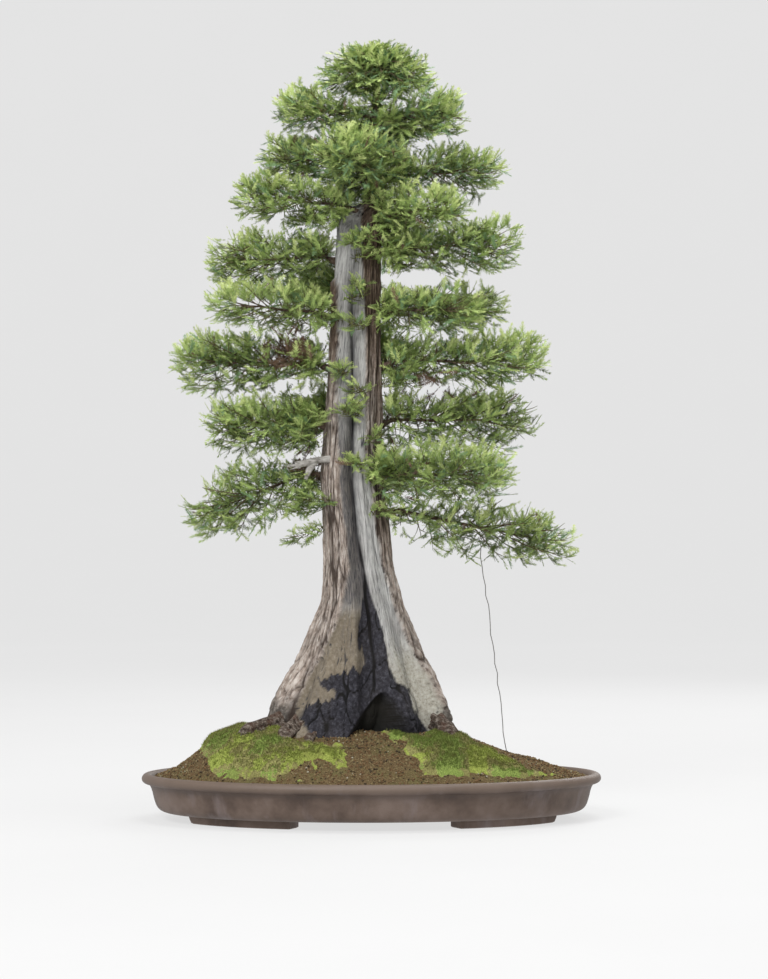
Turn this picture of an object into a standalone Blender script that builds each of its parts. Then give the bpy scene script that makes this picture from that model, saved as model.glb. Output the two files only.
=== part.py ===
"""Coast redwood bonsai in a shallow oval pot.

A tapering, flared trunk with a dead, grooved front and a burnt hollow at its foot carries a
layered crown. Every bough ends where it enters its mass of foliage. Metres, +Z up, origin on
the standing surface under the middle of the pot; -Y is the front.
"""
import math
import random

import bmesh
import bpy
from mathutils import Vector
from mathutils.bvhtree import BVHTree

# Driving dimensions

SEED = 27
GAP = 0.0003

POT_LENGTH = 0.620
POT_WIDTH = 0.410
POT_HEIGHT = 0.062
POT_FOOT_HEIGHT = 0.010
POT_FLOOR_TOP = 0.020
POT_SEGMENTS = 40
# Outer and inner skin of the pot, as (distance in from the rim's outline, height) pairs.
POT_OUTSIDE = ((0.034, POT_FOOT_HEIGHT), (0.024, 0.0135), (0.0185, 0.022), (0.0125, 0.0475),
               (0.0035, 0.0490), (0.0, 0.0535), (0.0015, 0.0590), (0.0060, POT_HEIGHT))
POT_INSIDE = ((0.0115, 0.0615), (0.0150, 0.0575), (0.0180, 0.0470), (0.0300, POT_FLOOR_TOP))
FOOT_SPAN = (0.110, 0.245)
FOOT_INSET = 0.046
FOOT_BREADTH = 0.026
FOOT_STEPS = 5
FOOT_SINK = 0.003

SOIL_EDGE_Z = 0.0545
SOIL_RINGS = 7
SOIL_LUMP = 0.0012
SOIL_WALL_GAP = 0.0012
SOIL_RIM_GAP = 0.0014
# Height of the mound's ridge along X.
MOUND_RIDGE = ((-0.292, 0.0560), (-0.262, 0.0690), (-0.238, 0.0870), (-0.215, 0.1040),
               (-0.174, 0.1180), (-0.135, 0.1240), (0.060, 0.1200), (0.112, 0.1140),
               (0.153, 0.0985), (0.184, 0.0865), (0.2325, 0.0735), (0.2866, 0.0560))
MOUND_FALL = 2.3
MOSS_THICKNESS = 0.0055
MOSS_EDGE = 0.0026
MOSS_PAD_DEPTH = 0.020
MOSS_STEPS_ROUND = 10
MOSS_STEPS_OUT = 4
MOSS_TRUNK_GAP = (0.006, 0.010)
MOSS_WAIST = 0.30
# Each moss pad: name, first and last angle about the trunk, share of the way to the rim.
MOSS_PADS = (("moss_left", 158.0, 256.0, 0.80), ("moss_right", 289.0, 352.0, 0.76),
             ("moss_back", 24.0, 128.0, 0.74))

TRUNK_BASE_Z = 0.112
# The trunk's corners: the finer front between two angles, and the count on each part.
TRUNK_FRONT = (222.0, 318.0)
TRUNK_FRONT_SIDES = 16
TRUNK_REAR_SIDES = 24
SEAT_CLEARANCE = 0.0016
SEAT_TOP_Z = 0.136
# Trunk sections: height, left, right, front and back of the wood.
TRUNK_SECTIONS = (
    (0.1120, -0.160, 0.110, -0.096, 0.088), (0.1190, -0.149, 0.103, -0.092, 0.084),
    (0.1354, -0.137, 0.102, -0.086, 0.078), (0.1517, -0.131, 0.098, -0.080, 0.072),
    (0.1787, -0.118, 0.085, -0.068, 0.062), (0.2165, -0.097, 0.069, -0.056, 0.052),
    (0.2395, -0.088, 0.059, -0.050, 0.047), (0.2880, -0.067, 0.040, -0.041, 0.039),
    (0.3477, -0.063, 0.0245, -0.036, 0.035), (0.4020, -0.065, 0.0195, -0.034, 0.033),
    (0.4560, -0.068, 0.0120, -0.032, 0.031), (0.6110, -0.058, 0.0108, -0.028, 0.028),
    (0.7270, -0.052, 0.0108, -0.025, 0.025), (0.8030, -0.047, 0.0120, -0.022, 0.022),
    (0.8240, -0.010, 0.0165, -0.0135, 0.0135), (0.9300, -0.004, 0.0140, -0.0090, 0.0090),
    (0.9900, 0.002, 0.0100, -0.0040, 0.0040), (1.0180, 0.0055, 0.0090, -0.0018, 0.0018))
TRUNK_EXTRA_LEVELS = (0.127, 0.1435, 0.162, 0.197, 0.262)
ROOT_ANGLES = (0.0, 62.0, 118.0, 180.0, 228.0, 312.0)
ROOT_SPREAD = 22.0
ROOT_HOLLOW = 0.20
ROOT_TOP_Z = 0.33
# The dead groove down the front: height and X of its middle line, then its size.
GROOVE_LINE = ((0.15, -0.0054), (0.26, -0.0095), (0.35, -0.0190), (0.46, -0.0270), (0.80, -0.0270))
GROOVE_WIDTH = 0.013
GROOVE_DEPTH = 0.010
CAVE_PEAK_Z = 0.172
CAVE_HALF_WIDTH = 0.050
CAVE_X = 0.014
CAVE_BACK = 0.034
CAVE_ARCH = 0.7
CAVE_SLANT = 0.25
# The bark's main ridges: depth share, count, twist per metre, and how unevenly they stand.
RIDGES = (0.048, 8.0, 6.0, 1.1)
# The dead front between the bark's two edges: height and X of each edge, then how low it lies.
DEAD_LEFT = ((0.160, -0.103), (0.220, -0.071), (0.270, -0.047), (0.340, -0.032),
             (0.440, -0.045), (0.730, -0.049))
DEAD_RIGHT = ((0.160, 0.086), (0.230, 0.053), (0.280, 0.029), (0.340, 0.016),
              (0.420, 0.002), (0.500, -0.010), (0.730, -0.011))
DEAD_DEPTH = 0.004
DEAD_SLOPE = 0.006
TRUNK_SMOOTH_ANGLE = 50.0
POT_SMOOTH_ANGLE = 38.0

DEAD_BOUGH_Z = 0.487
DEAD_BOUGH_LENGTH = 0.074
DEAD_BOUGH_RADIUS = 0.0055
DEAD_BOUGH_WAY = (-1.0, -0.55, -0.10)
# Its line after the root: share of its length, drop, and share of its radius.
DEAD_BOUGH_LINE = ((0.20, 0.0, 0.85), (0.45, 0.003, 0.70), (0.70, 0.004, 0.50), (1.0, 0.010, 0.20))

BOUGH_ROOT_RADIUS = 0.0075
BOUGH_TIP_SHARE = 0.45
BOUGH_COLLAR = 1.35
BOUGH_POINTS = 4
BOUGH_DROP = 0.010
BOUGH_RISE = 0.10
BOUGH_LEAST_SIZE = 0.55
LIMB_RESOLUTION = 1
SEAT_GAP = 1.5 * GAP
SEAT_SIDES = 24
SEAT_RING_SHARES = (1.0, 0.66, 0.33)
SEAT_STEP = 0.0001
SEAT_SINK = 0.004
TRUNK_OUTSIDE = 0.4

# The foliage masses: name, angle about the trunk, height of the middle, where the mass begins
# and ends outward from the trunk's axis, half breadth, half height, rise from stem to tip.
FOLIAGE = (
    ("crown_left", 196.0, 0.950, 0.020, 0.140, 0.074, 0.044, 0.004),
    ("crown_right", 338.0, 0.946, 0.020, 0.126, 0.074, 0.044, 0.004),
    ("crown_back", 78.0, 0.944, 0.020, 0.126, 0.076, 0.042, 0.004),
    ("shoulder_left", 168.0, 0.894, 0.036, 0.160, 0.074, 0.044, 0.006),
    ("shoulder_right", 12.0, 0.876, 0.036, 0.182, 0.076, 0.046, 0.010),
    ("shoulder_back", 100.0, 0.872, 0.036, 0.160, 0.074, 0.044, 0.002),
    ("shoulder_front", 252.0, 0.882, 0.036, 0.146, 0.070, 0.044, 0.000),
    ("upper_left", 192.0, 0.832, 0.054, 0.196, 0.072, 0.040, 0.006),
    ("upper_back", 62.0, 0.804, 0.054, 0.176, 0.078, 0.044, 0.000),
    ("upper_front", 318.0, 0.812, 0.050, 0.168, 0.054, 0.040, -0.004),
    ("upper_right", 348.0, 0.770, 0.052, 0.224, 0.078, 0.050, 0.004),
    ("middle_left", 171.0, 0.756, 0.054, 0.206, 0.080, 0.048, -0.008),
    ("middle_back", 114.0, 0.722, 0.054, 0.192, 0.078, 0.046, -0.006),
    ("middle_right", 24.0, 0.694, 0.054, 0.226, 0.074, 0.040, 0.008),
    ("middle_front_left", 200.0, 0.684, 0.060, 0.210, 0.062, 0.040, 0.004),
    ("middle_front_right", 326.0, 0.680, 0.058, 0.196, 0.054, 0.040, -0.006),
    ("broad_left", 178.0, 0.614, 0.060, 0.246, 0.082, 0.054, 0.000),
    ("broad_right", 354.0, 0.618, 0.058, 0.262, 0.080, 0.050, 0.004),
    ("broad_back", 72.0, 0.632, 0.058, 0.192, 0.080, 0.048, -0.006),
    ("lower_left", 188.0, 0.532, 0.060, 0.202, 0.076, 0.050, -0.004),
    ("lower_right", 14.0, 0.538, 0.060, 0.266, 0.082, 0.054, 0.000),
    ("lower_back", 112.0, 0.548, 0.058, 0.194, 0.080, 0.048, -0.008),
    ("skirt_left", 170.0, 0.434, 0.064, 0.230, 0.074, 0.050, -0.064),
    ("skirt_front_right", 329.0, 0.462, 0.060, 0.240, 0.074, 0.048, -0.004),
    ("skirt_back", 76.0, 0.462, 0.058, 0.194, 0.080, 0.048, -0.014),
    ("skirt_right", 5.0, 0.389, 0.064, 0.302, 0.066, 0.046, -0.050))
FIRST_WITH_BOUGH = 3
# The top mass: name, centre, then half its height and breadths.
APEX = ("apex", (0.0065, 0.0, 0.9930), 0.055, 0.082, 0.076)
APEX_CONE = (120.0, 16.0)
APEX_SPRAYS = 17
APEX_STEM = 0.022
APEX_LOWEST = 0.40
APEX_CORE = (0.004, 0.020)

SPACE_POWER = 2.6
SPACE_GAP = 0.0008
SPACE_STEP = 0.002
LEVEL_SQUEEZE = 2.2
LIMB_GAP = 0.0022
STEM_SHARE = 0.70
STEM_RADIUS = 0.0034
STEM_TIP_RADIUS = 0.0020
STEM_SIDES = 4
STEM_POINTS = 4
STEM_SWAY = 0.006
TWIG_RADIUS = 0.0013
TWIG_SIDES = 3
TWIG_SHORTEST = 0.004
CORE_SHARE = (0.50, 0.42, 0.36)
CORE_SIDES = 5
# Rings of the core: share of its length and of its size.
CORE_RINGS = ((0.0, 0.25), (0.28, 0.95), (0.76, 0.85))
CORE_BEGIN = 0.9
CORE_UNEVEN = (0.85, 1.15)
SPRAYS_PER_MASS = 13
SPRAY_TURN = math.radians(137.5)
SPRAY_TURN_PLAY = 0.3
SPRAY_LOWEST = 0.06
SPRAY_REACH = 0.97
# Angle between stem and spray at the stem's foot and tip, and how it changes between.
SPRAY_CONE = (84.0, 12.0)
SPRAY_CONE_POWER = 1.6
SPRAY_FLATNESS = 0.80
SPRAY_INWARD = 1.35
SPACE_MARGIN = 0.004
SPRAY_LENGTH = 0.080
SPRAY_SHORTEST = 0.026
SPRAY_ROLL = (24.0, 78.0)
SPRAY_TRIALS = [(share, twist) for share in (1.0, 0.85, 0.70, 0.56) for twist in (0.0, 40.0, -40.0)]
SPRAY_SINK = 0.004
SPRAY_WIDTH_SHARE = 0.34
SPRAY_THICKNESS_SHARE = 0.032
SPRAY_RIDGE_SHARE = 0.40
SPRAY_FOOT = 0.0008
# Toothed outline of half a spray: share of its length, share of its half width.
SPRAY_TEETH = ((0.36, 1.0), (0.47, 0.46), (0.76, 0.80))

WIRE_RADIUS = 0.0006
WIRE_SEGMENTS = 22
WIRE_KINK = 0.0016
WIRE_FOOT = (0.182, -0.004)
WIRE_HEAD_SHARE = 0.62
WIRE_HEAD_GAP = 0.0008

MODEL_NAME = "coast_redwood_bonsai"
CUTTER_NAME = "redwood_cutters"

# Each material: colour, roughness, metallic.
MATERIALS = {
    "brown_clay": ((0.150, 0.098, 0.075), 0.62, 0.0),
    "red_soil": ((0.135, 0.070, 0.040), 0.95, 0.0),
    "moss": ((0.230, 0.290, 0.040), 0.95, 0.0),
    "weathered_trunk": ((0.260, 0.205, 0.165), 0.85, 0.0),
    "bough_bark": ((0.140, 0.095, 0.070), 0.90, 0.0),
    "dead_wood": ((0.500, 0.480, 0.440), 0.80, 0.0),
    "redwood_needles": ((0.100, 0.190, 0.040), 0.60, 0.0),
    "dull_wire": ((0.330, 0.320, 0.310), 0.45, 0.8)}


# Scene and materials

def clear_scene():
    for item in list(bpy.data.objects):
        bpy.data.objects.remove(item, do_unlink=True)


def collection(name):
    group = bpy.data.collections.new(name)
    bpy.context.scene.collection.children.link(group)
    return group


def material(name, colour, roughness, metallic):
    made = bpy.data.materials.new(name)
    made.use_nodes = True
    shader = made.node_tree.nodes["Principled BSDF"]
    shader.inputs["Base Color"].default_value = (*colour, 1.0)
    shader.inputs["Roughness"].default_value = roughness
    shader.inputs["Metallic"].default_value = metallic
    made.diffuse_color = (*colour, 1.0)
    return made


def place(name, mesh, group, skin=None, smooth_angle=None):
    """Put a mesh in a collection as a named object with its material and shading."""
    item = bpy.data.objects.new(name, mesh)
    group.objects.link(item)
    if skin:
        mesh.materials.append(skin)
    if smooth_angle:
        mesh.shade_smooth()
        mesh.set_sharp_from_angle(angle=math.radians(smooth_angle))
    return item


def as_cutter(item):
    item.hide_render = True
    item.display_type = "WIRE"
    return item


def boolean(item, operation, other=None, group=None):
    cut = item.modifiers.new(operation.lower(), "BOOLEAN")
    cut.operation = operation
    cut.solver = "EXACT"
    if group:
        cut.operand_type = "COLLECTION"
        cut.collection = group
    else:
        cut.object = other
    return cut


def evaluated_mesh(item):
    bpy.context.view_layer.update()
    graph = bpy.context.evaluated_depsgraph_get()
    return bpy.data.meshes.new_from_object(item.evaluated_get(graph))


def mesh_tree(mesh):
    return BVHTree.FromPolygons([v.co.copy() for v in mesh.vertices],
                                [tuple(p.vertices) for p in mesh.polygons])


def surface_tree(item):
    mesh = evaluated_mesh(item)
    tree = mesh_tree(mesh)
    bpy.data.meshes.remove(mesh)
    return tree


# Shape helpers

def blend(rows, at, column=1):
    """Straight-line reading of a table whose first column rises."""
    if at <= rows[0][0]:
        return rows[0][column]
    for low, high in zip(rows, rows[1:]):
        if at <= high[0]:
            share = (at - low[0]) / (high[0] - low[0])
            return low[column] + share * (high[column] - low[column])
    return rows[-1][column]


def soft(value):
    value = min(max(value, 0.0), 1.0)
    return value * value * (3.0 - 2.0 * value)


def lofted(rings, name, tip=None):
    """Closed mesh through rings of points, lowest first, with flat ends or a pointed top."""
    bm = bmesh.new()
    rows = [[bm.verts.new(point) for point in ring] for ring in rings]
    count = len(rows[0])
    for low, high in zip(rows, rows[1:]):
        for i in range(count):
            j = (i + 1) % count
            bm.faces.new((low[i], low[j], high[j], high[i]))
    bm.faces.new(rows[0][::-1])
    if tip is None:
        bm.faces.new(rows[-1])
    else:
        peak = bm.verts.new(tip)
        for i in range(count):
            bm.faces.new((rows[-1][i], rows[-1][(i + 1) % count], peak))
    bmesh.ops.recalc_face_normals(bm, faces=bm.faces)
    bmesh.ops.triangulate(bm, faces=bm.faces)
    mesh = bpy.data.meshes.new(name)
    bm.to_mesh(mesh)
    bm.free()
    return mesh


def tube(points, radii, sides, name):
    """Tapering tube with flat ends along a short run of points."""
    rings = []
    for i, point in enumerate(points):
        ahead = points[min(i + 1, len(points) - 1)] - points[max(i - 1, 0)]
        across, up = cross_axes(ahead.normalized())
        turns = [2.0 * math.pi * k / sides for k in range(sides)]
        rings.append([point + radii[i] * (math.cos(a) * across + math.sin(a) * up) for a in turns])
    return lofted(rings, name)


def cross_axes(along):
    """Level and upward directions square to a direction."""
    across = along.cross(Vector((0.0, 0.0, 1.0)))
    if across.length < 0.05:
        across = along.cross(Vector((0.0, 1.0, 0.0)))
    across.normalize()
    return across, across.cross(along).normalized()


def outline_prism(points, low, high, name):
    """Flat outline stood up between two heights."""
    return lofted([[(x, y, low) for x, y in points], [(x, y, high) for x, y in points]], name)


def oval(inset, angle, half_length=POT_LENGTH / 2, half_width=POT_WIDTH / 2):
    return ((half_length - inset) * math.cos(angle), (half_width - inset) * math.sin(angle))


def oval_ring(inset, height, segments=POT_SEGMENTS):
    turns = [2.0 * math.pi * k / segments for k in range(segments)]
    return [(*oval(inset, turn), height) for turn in turns]


# Pot

def make_pot(group, cutters, clay):
    rings = [oval_ring(inset, height) for inset, height in POT_OUTSIDE + POT_INSIDE]
    pot = place("pot", lofted(rings, "pot"), group, clay, POT_SMOOTH_ANGLE)
    feet = bpy.data.collections.new("pot_feet")
    cutters.children.link(feet)
    inner = FOOT_INSET + FOOT_BREADTH
    for number, (side_x, side_y) in enumerate(((-1, -1), (1, -1), (-1, 1), (1, 1)), 1):
        outline = []
        for inset in (FOOT_INSET, inner):
            half_length = POT_LENGTH / 2 - inset
            turns = [math.acos(span / (POT_LENGTH / 2 - FOOT_INSET)) for span in FOOT_SPAN]
            run = [turns[0] + (turns[1] - turns[0]) * k / FOOT_STEPS
                   for k in range(FOOT_STEPS + 1)]
            row = [(side_x * half_length * math.cos(turn), side_y * oval(inset, turn)[1])
                   for turn in run]
            outline += row if inset == FOOT_INSET else row[::-1]
        mesh = outline_prism(outline, 0.0, POT_FOOT_HEIGHT + FOOT_SINK, "pot_foot")
        as_cutter(place("pot_foot_%d" % number, mesh, feet, clay))
    boolean(pot, "UNION", group=feet)
    return pot


# Soil and moss

def lump(x, y, size):
    """Small even unevenness that never repeats over the pot."""
    return size * (math.sin(61.0 * x + 1.3) * math.sin(73.0 * y + 0.4)
                   + 0.6 * math.sin(127.0 * x - 89.0 * y))


def soil_height(x, y):
    half_length = POT_LENGTH / 2 - POT_INSIDE[1][0]
    half_width = POT_WIDTH / 2 - POT_INSIDE[1][0]
    edge_y = half_width * math.sqrt(max(1.0 - (x / half_length) ** 2, 0.0004))
    across = min(abs(y) / edge_y, 1.0)
    swell = max(blend(MOUND_RIDGE, x) - SOIL_EDGE_Z, 0.0) * (1.0 - across ** MOUND_FALL)
    return SOIL_EDGE_Z + swell + lump(x, y, SOIL_LUMP) * soft(3.0 * (1.0 - across))


def make_soil(group, cutters, earth):
    wall = POT_INSIDE[1:]
    rings = []
    for inset, height in reversed(wall):
        inset += SOIL_WALL_GAP
        height = min(height + (GAP if height == POT_FLOOR_TOP else 0.0), SOIL_EDGE_Z)
        rings.append(oval_ring(inset, height))
    rim_inset = wall[0][0] + SOIL_RIM_GAP
    for k in range(1, SOIL_RINGS):
        share = 1.0 - k / SOIL_RINGS
        ring = []
        for turn_number in range(POT_SEGMENTS):
            x, y = oval(rim_inset, 2.0 * math.pi * turn_number / POT_SEGMENTS)
            ring.append((x * share, y * share, soil_height(x * share, y * share)))
        rings.append(ring)
    mesh = lofted(rings, "soil", tip=(0.0, 0.0, soil_height(0.0, 0.0)))
    raised = as_cutter(place("soil_raised", mesh.copy(), cutters))
    raised.location.z = 1.5 * GAP
    soil = place("soil", mesh, group, earth)
    axis = trunk_axis(TRUNK_BASE_Z)
    foot = []
    for angle in trunk_angles():
        reach = foot_reach(angle) + SEAT_CLEARANCE
        foot.append((axis.x + reach * math.cos(angle), axis.y + reach * math.sin(angle)))
    pocket = outline_prism(foot, TRUNK_BASE_Z - GAP, 2.0 * TRUNK_BASE_Z, "trunk_seat")
    boolean(soil, "DIFFERENCE", other=as_cutter(place("trunk_seat", pocket, cutters)))
    return soil, raised


def make_moss(group, raised, green):
    ground = surface_tree(raised)
    centre = trunk_axis(TRUNK_BASE_Z)
    steps_round, steps_out = MOSS_STEPS_ROUND, MOSS_STEPS_OUT
    for name, first, last, outer_share in MOSS_PADS:
        chance = random.Random("%d %s" % (SEED, name))
        top, bottom = [], []
        for i in range(steps_round + 1):
            round_share = i / steps_round
            angle = math.radians(first + (last - first) * round_share)
            waist = MOSS_WAIST * abs(2.0 * round_share - 1.0) ** 3
            inner = foot_reach(angle) + chance.uniform(*MOSS_TRUNK_GAP)
            far = rim_distance(centre, angle) * (outer_share + 0.05 * chance.uniform(-1, 1))
            start = inner + (far - inner) * waist
            end = far - (far - inner) * waist
            for j in range(steps_out + 1):
                reach = start + (end - start) * j / steps_out
                x = centre.x + reach * math.cos(angle)
                y = centre.y + reach * math.sin(angle)
                inside = 0 < i < steps_round and 0 < j < steps_out
                thick = MOSS_EDGE
                if inside:
                    thick = MOSS_THICKNESS * chance.uniform(0.75, 1.35)
                height = ground.ray_cast(Vector((x, y, 1.0)), Vector((0, 0, -1)))[0].z
                top.append((x, y, height + thick))
                bottom.append((x, y, height - MOSS_PAD_DEPTH))
        mesh = sheet_block(top, bottom, steps_round + 1, steps_out + 1, name)
        pad = place(name, mesh, group, green)
        boolean(pad, "DIFFERENCE", other=raised)


def rim_distance(centre, angle):
    """Distance from a point inside the pot to the inner wall along an angle."""
    half_length = POT_LENGTH / 2 - POT_INSIDE[1][0]
    half_width = POT_WIDTH / 2 - POT_INSIDE[1][0]
    x, y = math.cos(angle) / half_length, math.sin(angle) / half_width
    along = x * centre.x / half_length + y * centre.y / half_width
    inside = 1.0 - (centre.x / half_length) ** 2 - (centre.y / half_width) ** 2
    square = x * x + y * y
    return (math.sqrt(along * along + square * inside) - along) / square


def sheet_block(top, bottom, rows, columns, name):
    """Closed block between two grids of points that lie over each other."""
    bm = bmesh.new()
    high = [bm.verts.new(point) for point in top]
    low = [bm.verts.new(point) for point in bottom]
    for i in range(rows - 1):
        for j in range(columns - 1):
            a, b = i * columns + j, (i + 1) * columns + j
            bm.faces.new((high[a], high[a + 1], high[b + 1], high[b]))
            bm.faces.new((low[a], low[b], low[b + 1], low[a + 1]))
    border = list(range(columns))
    border += [i * columns + columns - 1 for i in range(1, rows)]
    border += [(rows - 1) * columns + j for j in range(columns - 2, -1, -1)]
    border += [i * columns for i in range(rows - 2, 0, -1)]
    for a, b in zip(border, border[1:] + border[:1]):
        bm.faces.new((high[a], low[a], low[b], high[b]))
    bmesh.ops.recalc_face_normals(bm, faces=bm.faces)
    mesh = bpy.data.meshes.new(name)
    bm.to_mesh(mesh)
    bm.free()
    return mesh


# Trunk

def trunk_axis(z):
    left, right, front, back = (blend(TRUNK_SECTIONS, z, column) for column in (1, 2, 3, 4))
    return Vector(((left + right) / 2, (front + back) / 2, z))


def trunk_angles():
    first, last = TRUNK_FRONT
    front = [first + (last - first) * k / TRUNK_FRONT_SIDES for k in range(TRUNK_FRONT_SIDES)]
    rest = 360.0 - (last - first)
    rear = [last + rest * k / TRUNK_REAR_SIDES for k in range(TRUNK_REAR_SIDES)]
    return [math.radians(degrees) for degrees in front + rear]


def angle_between(a, b):
    return abs((a - b + math.pi) % (2.0 * math.pi) - math.pi)


def trunk_radius(angle, z):
    """Distance from the trunk's axis to its surface at an angle and a height."""
    left, right, front, back = (blend(TRUNK_SECTIONS, z, column) for column in (1, 2, 3, 4))
    half_x, half_y = (right - left) / 2, (back - front) / 2
    radius = 1.0 / math.hypot(math.cos(angle) / half_x, math.sin(angle) / half_y)
    near_root = max(math.exp(-(angle_between(angle, math.radians(root))
                               / math.radians(ROOT_SPREAD)) ** 2) for root in ROOT_ANGLES)
    flare = soft((ROOT_TOP_Z - z) / (ROOT_TOP_Z - TRUNK_BASE_Z))
    radius *= 1.0 - ROOT_HOLLOW * flare * (1.0 - near_root)
    if z > TRUNK_SECTIONS[-5][0]:
        return radius
    depth, count, twist, uneven = RIDGES
    radius *= 1.0 + depth * math.cos(count * angle + twist * z + uneven * math.sin(3.0 * angle))
    axis = trunk_axis(z)
    x = axis.x + radius * math.cos(angle)
    if math.sin(angle) < 0.0:
        inward = min(x - blend(DEAD_LEFT, z), blend(DEAD_RIGHT, z) - x)
        radius -= DEAD_DEPTH * soft(inward / DEAD_SLOPE)
    groove_angle = math.atan2(front - axis.y, blend(GROOVE_LINE, z) - axis.x)
    off_groove = angle_between(angle, groove_angle) * radius / GROOVE_WIDTH
    if off_groove < 1.0:
        radius -= GROOVE_DEPTH * (1.0 - off_groove ** 2)
    if z < CAVE_PEAK_Z:
        up = (z - TRUNK_BASE_Z) / (CAVE_PEAK_Z - TRUNK_BASE_Z)
        half_width = CAVE_HALF_WIDTH * (1.0 - up) ** CAVE_ARCH
        x = axis.x + radius * math.cos(angle)
        if math.sin(angle) < -0.3 and abs(x - CAVE_X) < half_width:
            share = 1.0 - soft((abs(x - CAVE_X) / half_width) ** 6)
            wall = CAVE_BACK + CAVE_SLANT * up * radius
            radius += (min(wall, radius) - radius) * share
    return radius


def trunk_point(angle, z, outward=0.0):
    reach = trunk_radius(angle, z) + outward
    axis = trunk_axis(z)
    return Vector((axis.x + reach * math.cos(angle), axis.y + reach * math.sin(angle), z))


def trunk_levels():
    return sorted([row[0] for row in TRUNK_SECTIONS] + list(TRUNK_EXTRA_LEVELS))


def foot_reach(angle):
    """Furthest reach of the root flare at an angle, over the height that soil can lie at."""
    base = trunk_axis(TRUNK_BASE_Z)
    reach = 0.0
    for z in [level for level in trunk_levels() if level < SEAT_TOP_Z]:
        point = trunk_point(angle, z)
        reach = max(reach, math.hypot(point.x - base.x, point.y - base.y))
    return reach


def make_trunk(group, wood):
    rings = [[trunk_point(angle, z) for angle in trunk_angles()] for z in trunk_levels()]
    return place("trunk", lofted(rings, "trunk"), group, wood, TRUNK_SMOOTH_ANGLE)


def outside_trunk(point, clearance):
    """True where a point keeps its distance from the trunk."""
    if point.z > TRUNK_SECTIONS[-1][0] + clearance or point.z < TRUNK_BASE_Z:
        return True
    axis = trunk_axis(point.z)
    off = math.hypot(point.x - axis.x, point.y - axis.y)
    angle = math.atan2(point.y - axis.y, point.x - axis.x)
    return off > trunk_radius(angle, point.z) + clearance


# Limbs

def tapered_curve(name, points, radii, group, skin):
    """Round limb as a curve with a radius at each of its points."""
    data = bpy.data.curves.new(name, "CURVE")
    data.dimensions = "3D"
    data.fill_mode = "FULL"
    data.bevel_depth = radii[0]
    data.bevel_resolution = LIMB_RESOLUTION
    data.use_fill_caps = True
    line = data.splines.new("POLY")
    line.points.add(len(points) - 1)
    for spot, point, radius in zip(line.points, points, radii):
        spot.co = (*point, 1.0)
        spot.radius = radius / radii[0]
    item = bpy.data.objects.new(name, data)
    group.objects.link(item)
    data.materials.append(skin)
    return item


def seat_on_trunk(tree, aim, outward, radius):
    """Start of a limb whose flat end clears the trunk's surface by the gap."""
    hit = tree.ray_cast(aim + outward * TRUNK_OUTSIDE, -outward)[0]
    across, up = cross_axes(outward)
    disc = [Vector()]
    for k in range(SEAT_SIDES):
        turn = 2.0 * math.pi * k / SEAT_SIDES
        rim = radius * (math.cos(turn) * across + math.sin(turn) * up)
        disc += [rim * share for share in SEAT_RING_SHARES]
    slide = -SEAT_SINK
    while True:
        start = hit + outward * slide
        spots = [start + off for off in disc]
        gaps = []
        for spot in spots:
            nearest, normal, _, distance = tree.find_nearest(spot)
            gaps.append(distance if (spot - nearest).dot(normal) > 0 else -distance)
        if min(gaps) >= SEAT_GAP:
            return start
        slide += SEAT_STEP


class Pad:
    """One mass of foliage: where it starts, which way it runs and the space it keeps to."""

    def __init__(self, name, start, end, half_breadth, half_height):
        self.name = name
        self.start = start
        self.end = end
        self.along = (end - start).normalized()
        self.across, self.up = cross_axes(self.along)
        self.centre = (start + end) / 2
        self.half = ((end - start).length / 2 + SPACE_MARGIN, half_breadth, half_height)
        self.cone = SPRAY_CONE
        self.flatness = SPRAY_FLATNESS
        self.lowest = SPRAY_LOWEST
        self.sprays = SPRAYS_PER_MASS
        self.walls = []

    def point(self, along, across, up):
        return self.start + along * self.along + across * self.across + up * self.up

    def holds(self, point):
        off = point - self.centre
        parts = (off.dot(self.along), off.dot(self.across), off.dot(self.up))
        if sum(abs(p / h) ** SPACE_POWER for p, h in zip(parts, self.half)) > 1.0:
            return False
        return all(normal.dot(point) < limit for normal, limit in self.walls)


def make_pads(tree):
    """The masses from the table; those without a bough start on the trunk itself."""
    pads = []
    for number, row in enumerate(FOLIAGE):
        name, degrees, z, begin, finish, breadth, height, rise = row
        angle = math.radians(degrees)
        axis = trunk_axis(z)
        out = Vector((math.cos(angle), math.sin(angle), 0.0))
        start = axis + out * begin + Vector((0, 0, -rise / 2))
        if number < FIRST_WITH_BOUGH:
            start = seat_on_trunk(tree, axis, out, STEM_RADIUS)
        end = axis + out * finish + Vector((0, 0, rise / 2))
        pads.append(Pad("foliage_" + name, start, end, breadth, height))
    name, centre, height, breadth, depth = APEX
    centre = Vector(centre)
    top = Vector((TRUNK_SECTIONS[-1][1] * 0.5 + TRUNK_SECTIONS[-1][2] * 0.5, 0.0,
                  TRUNK_SECTIONS[-1][0] + GAP))
    crown = Pad("foliage_" + name, top, top + Vector((0.0, 0.0, APEX_STEM)), breadth, depth)
    crown.centre = centre
    crown.half = (height, breadth, depth)
    crown.cone = APEX_CONE
    crown.flatness = 1.0
    crown.lowest = APEX_LOWEST
    crown.sprays = APEX_SPRAYS
    pads.append(crown)
    for pad in pads:
        pad.walls = [wall_between(pad, other) for other in pads if other is not pad]
    return pads


def wall_between(pad, other):
    """Flat wall between two masses, weighted by their height, as a direction and a limit."""
    apart = other.centre - pad.centre
    normal = Vector((apart.x, apart.y, apart.z * LEVEL_SQUEEZE ** 2)).normalized()
    share = pad.half[2] / (pad.half[2] + other.half[2])
    return normal, normal.dot(pad.centre + apart * share) - SPACE_GAP


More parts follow.
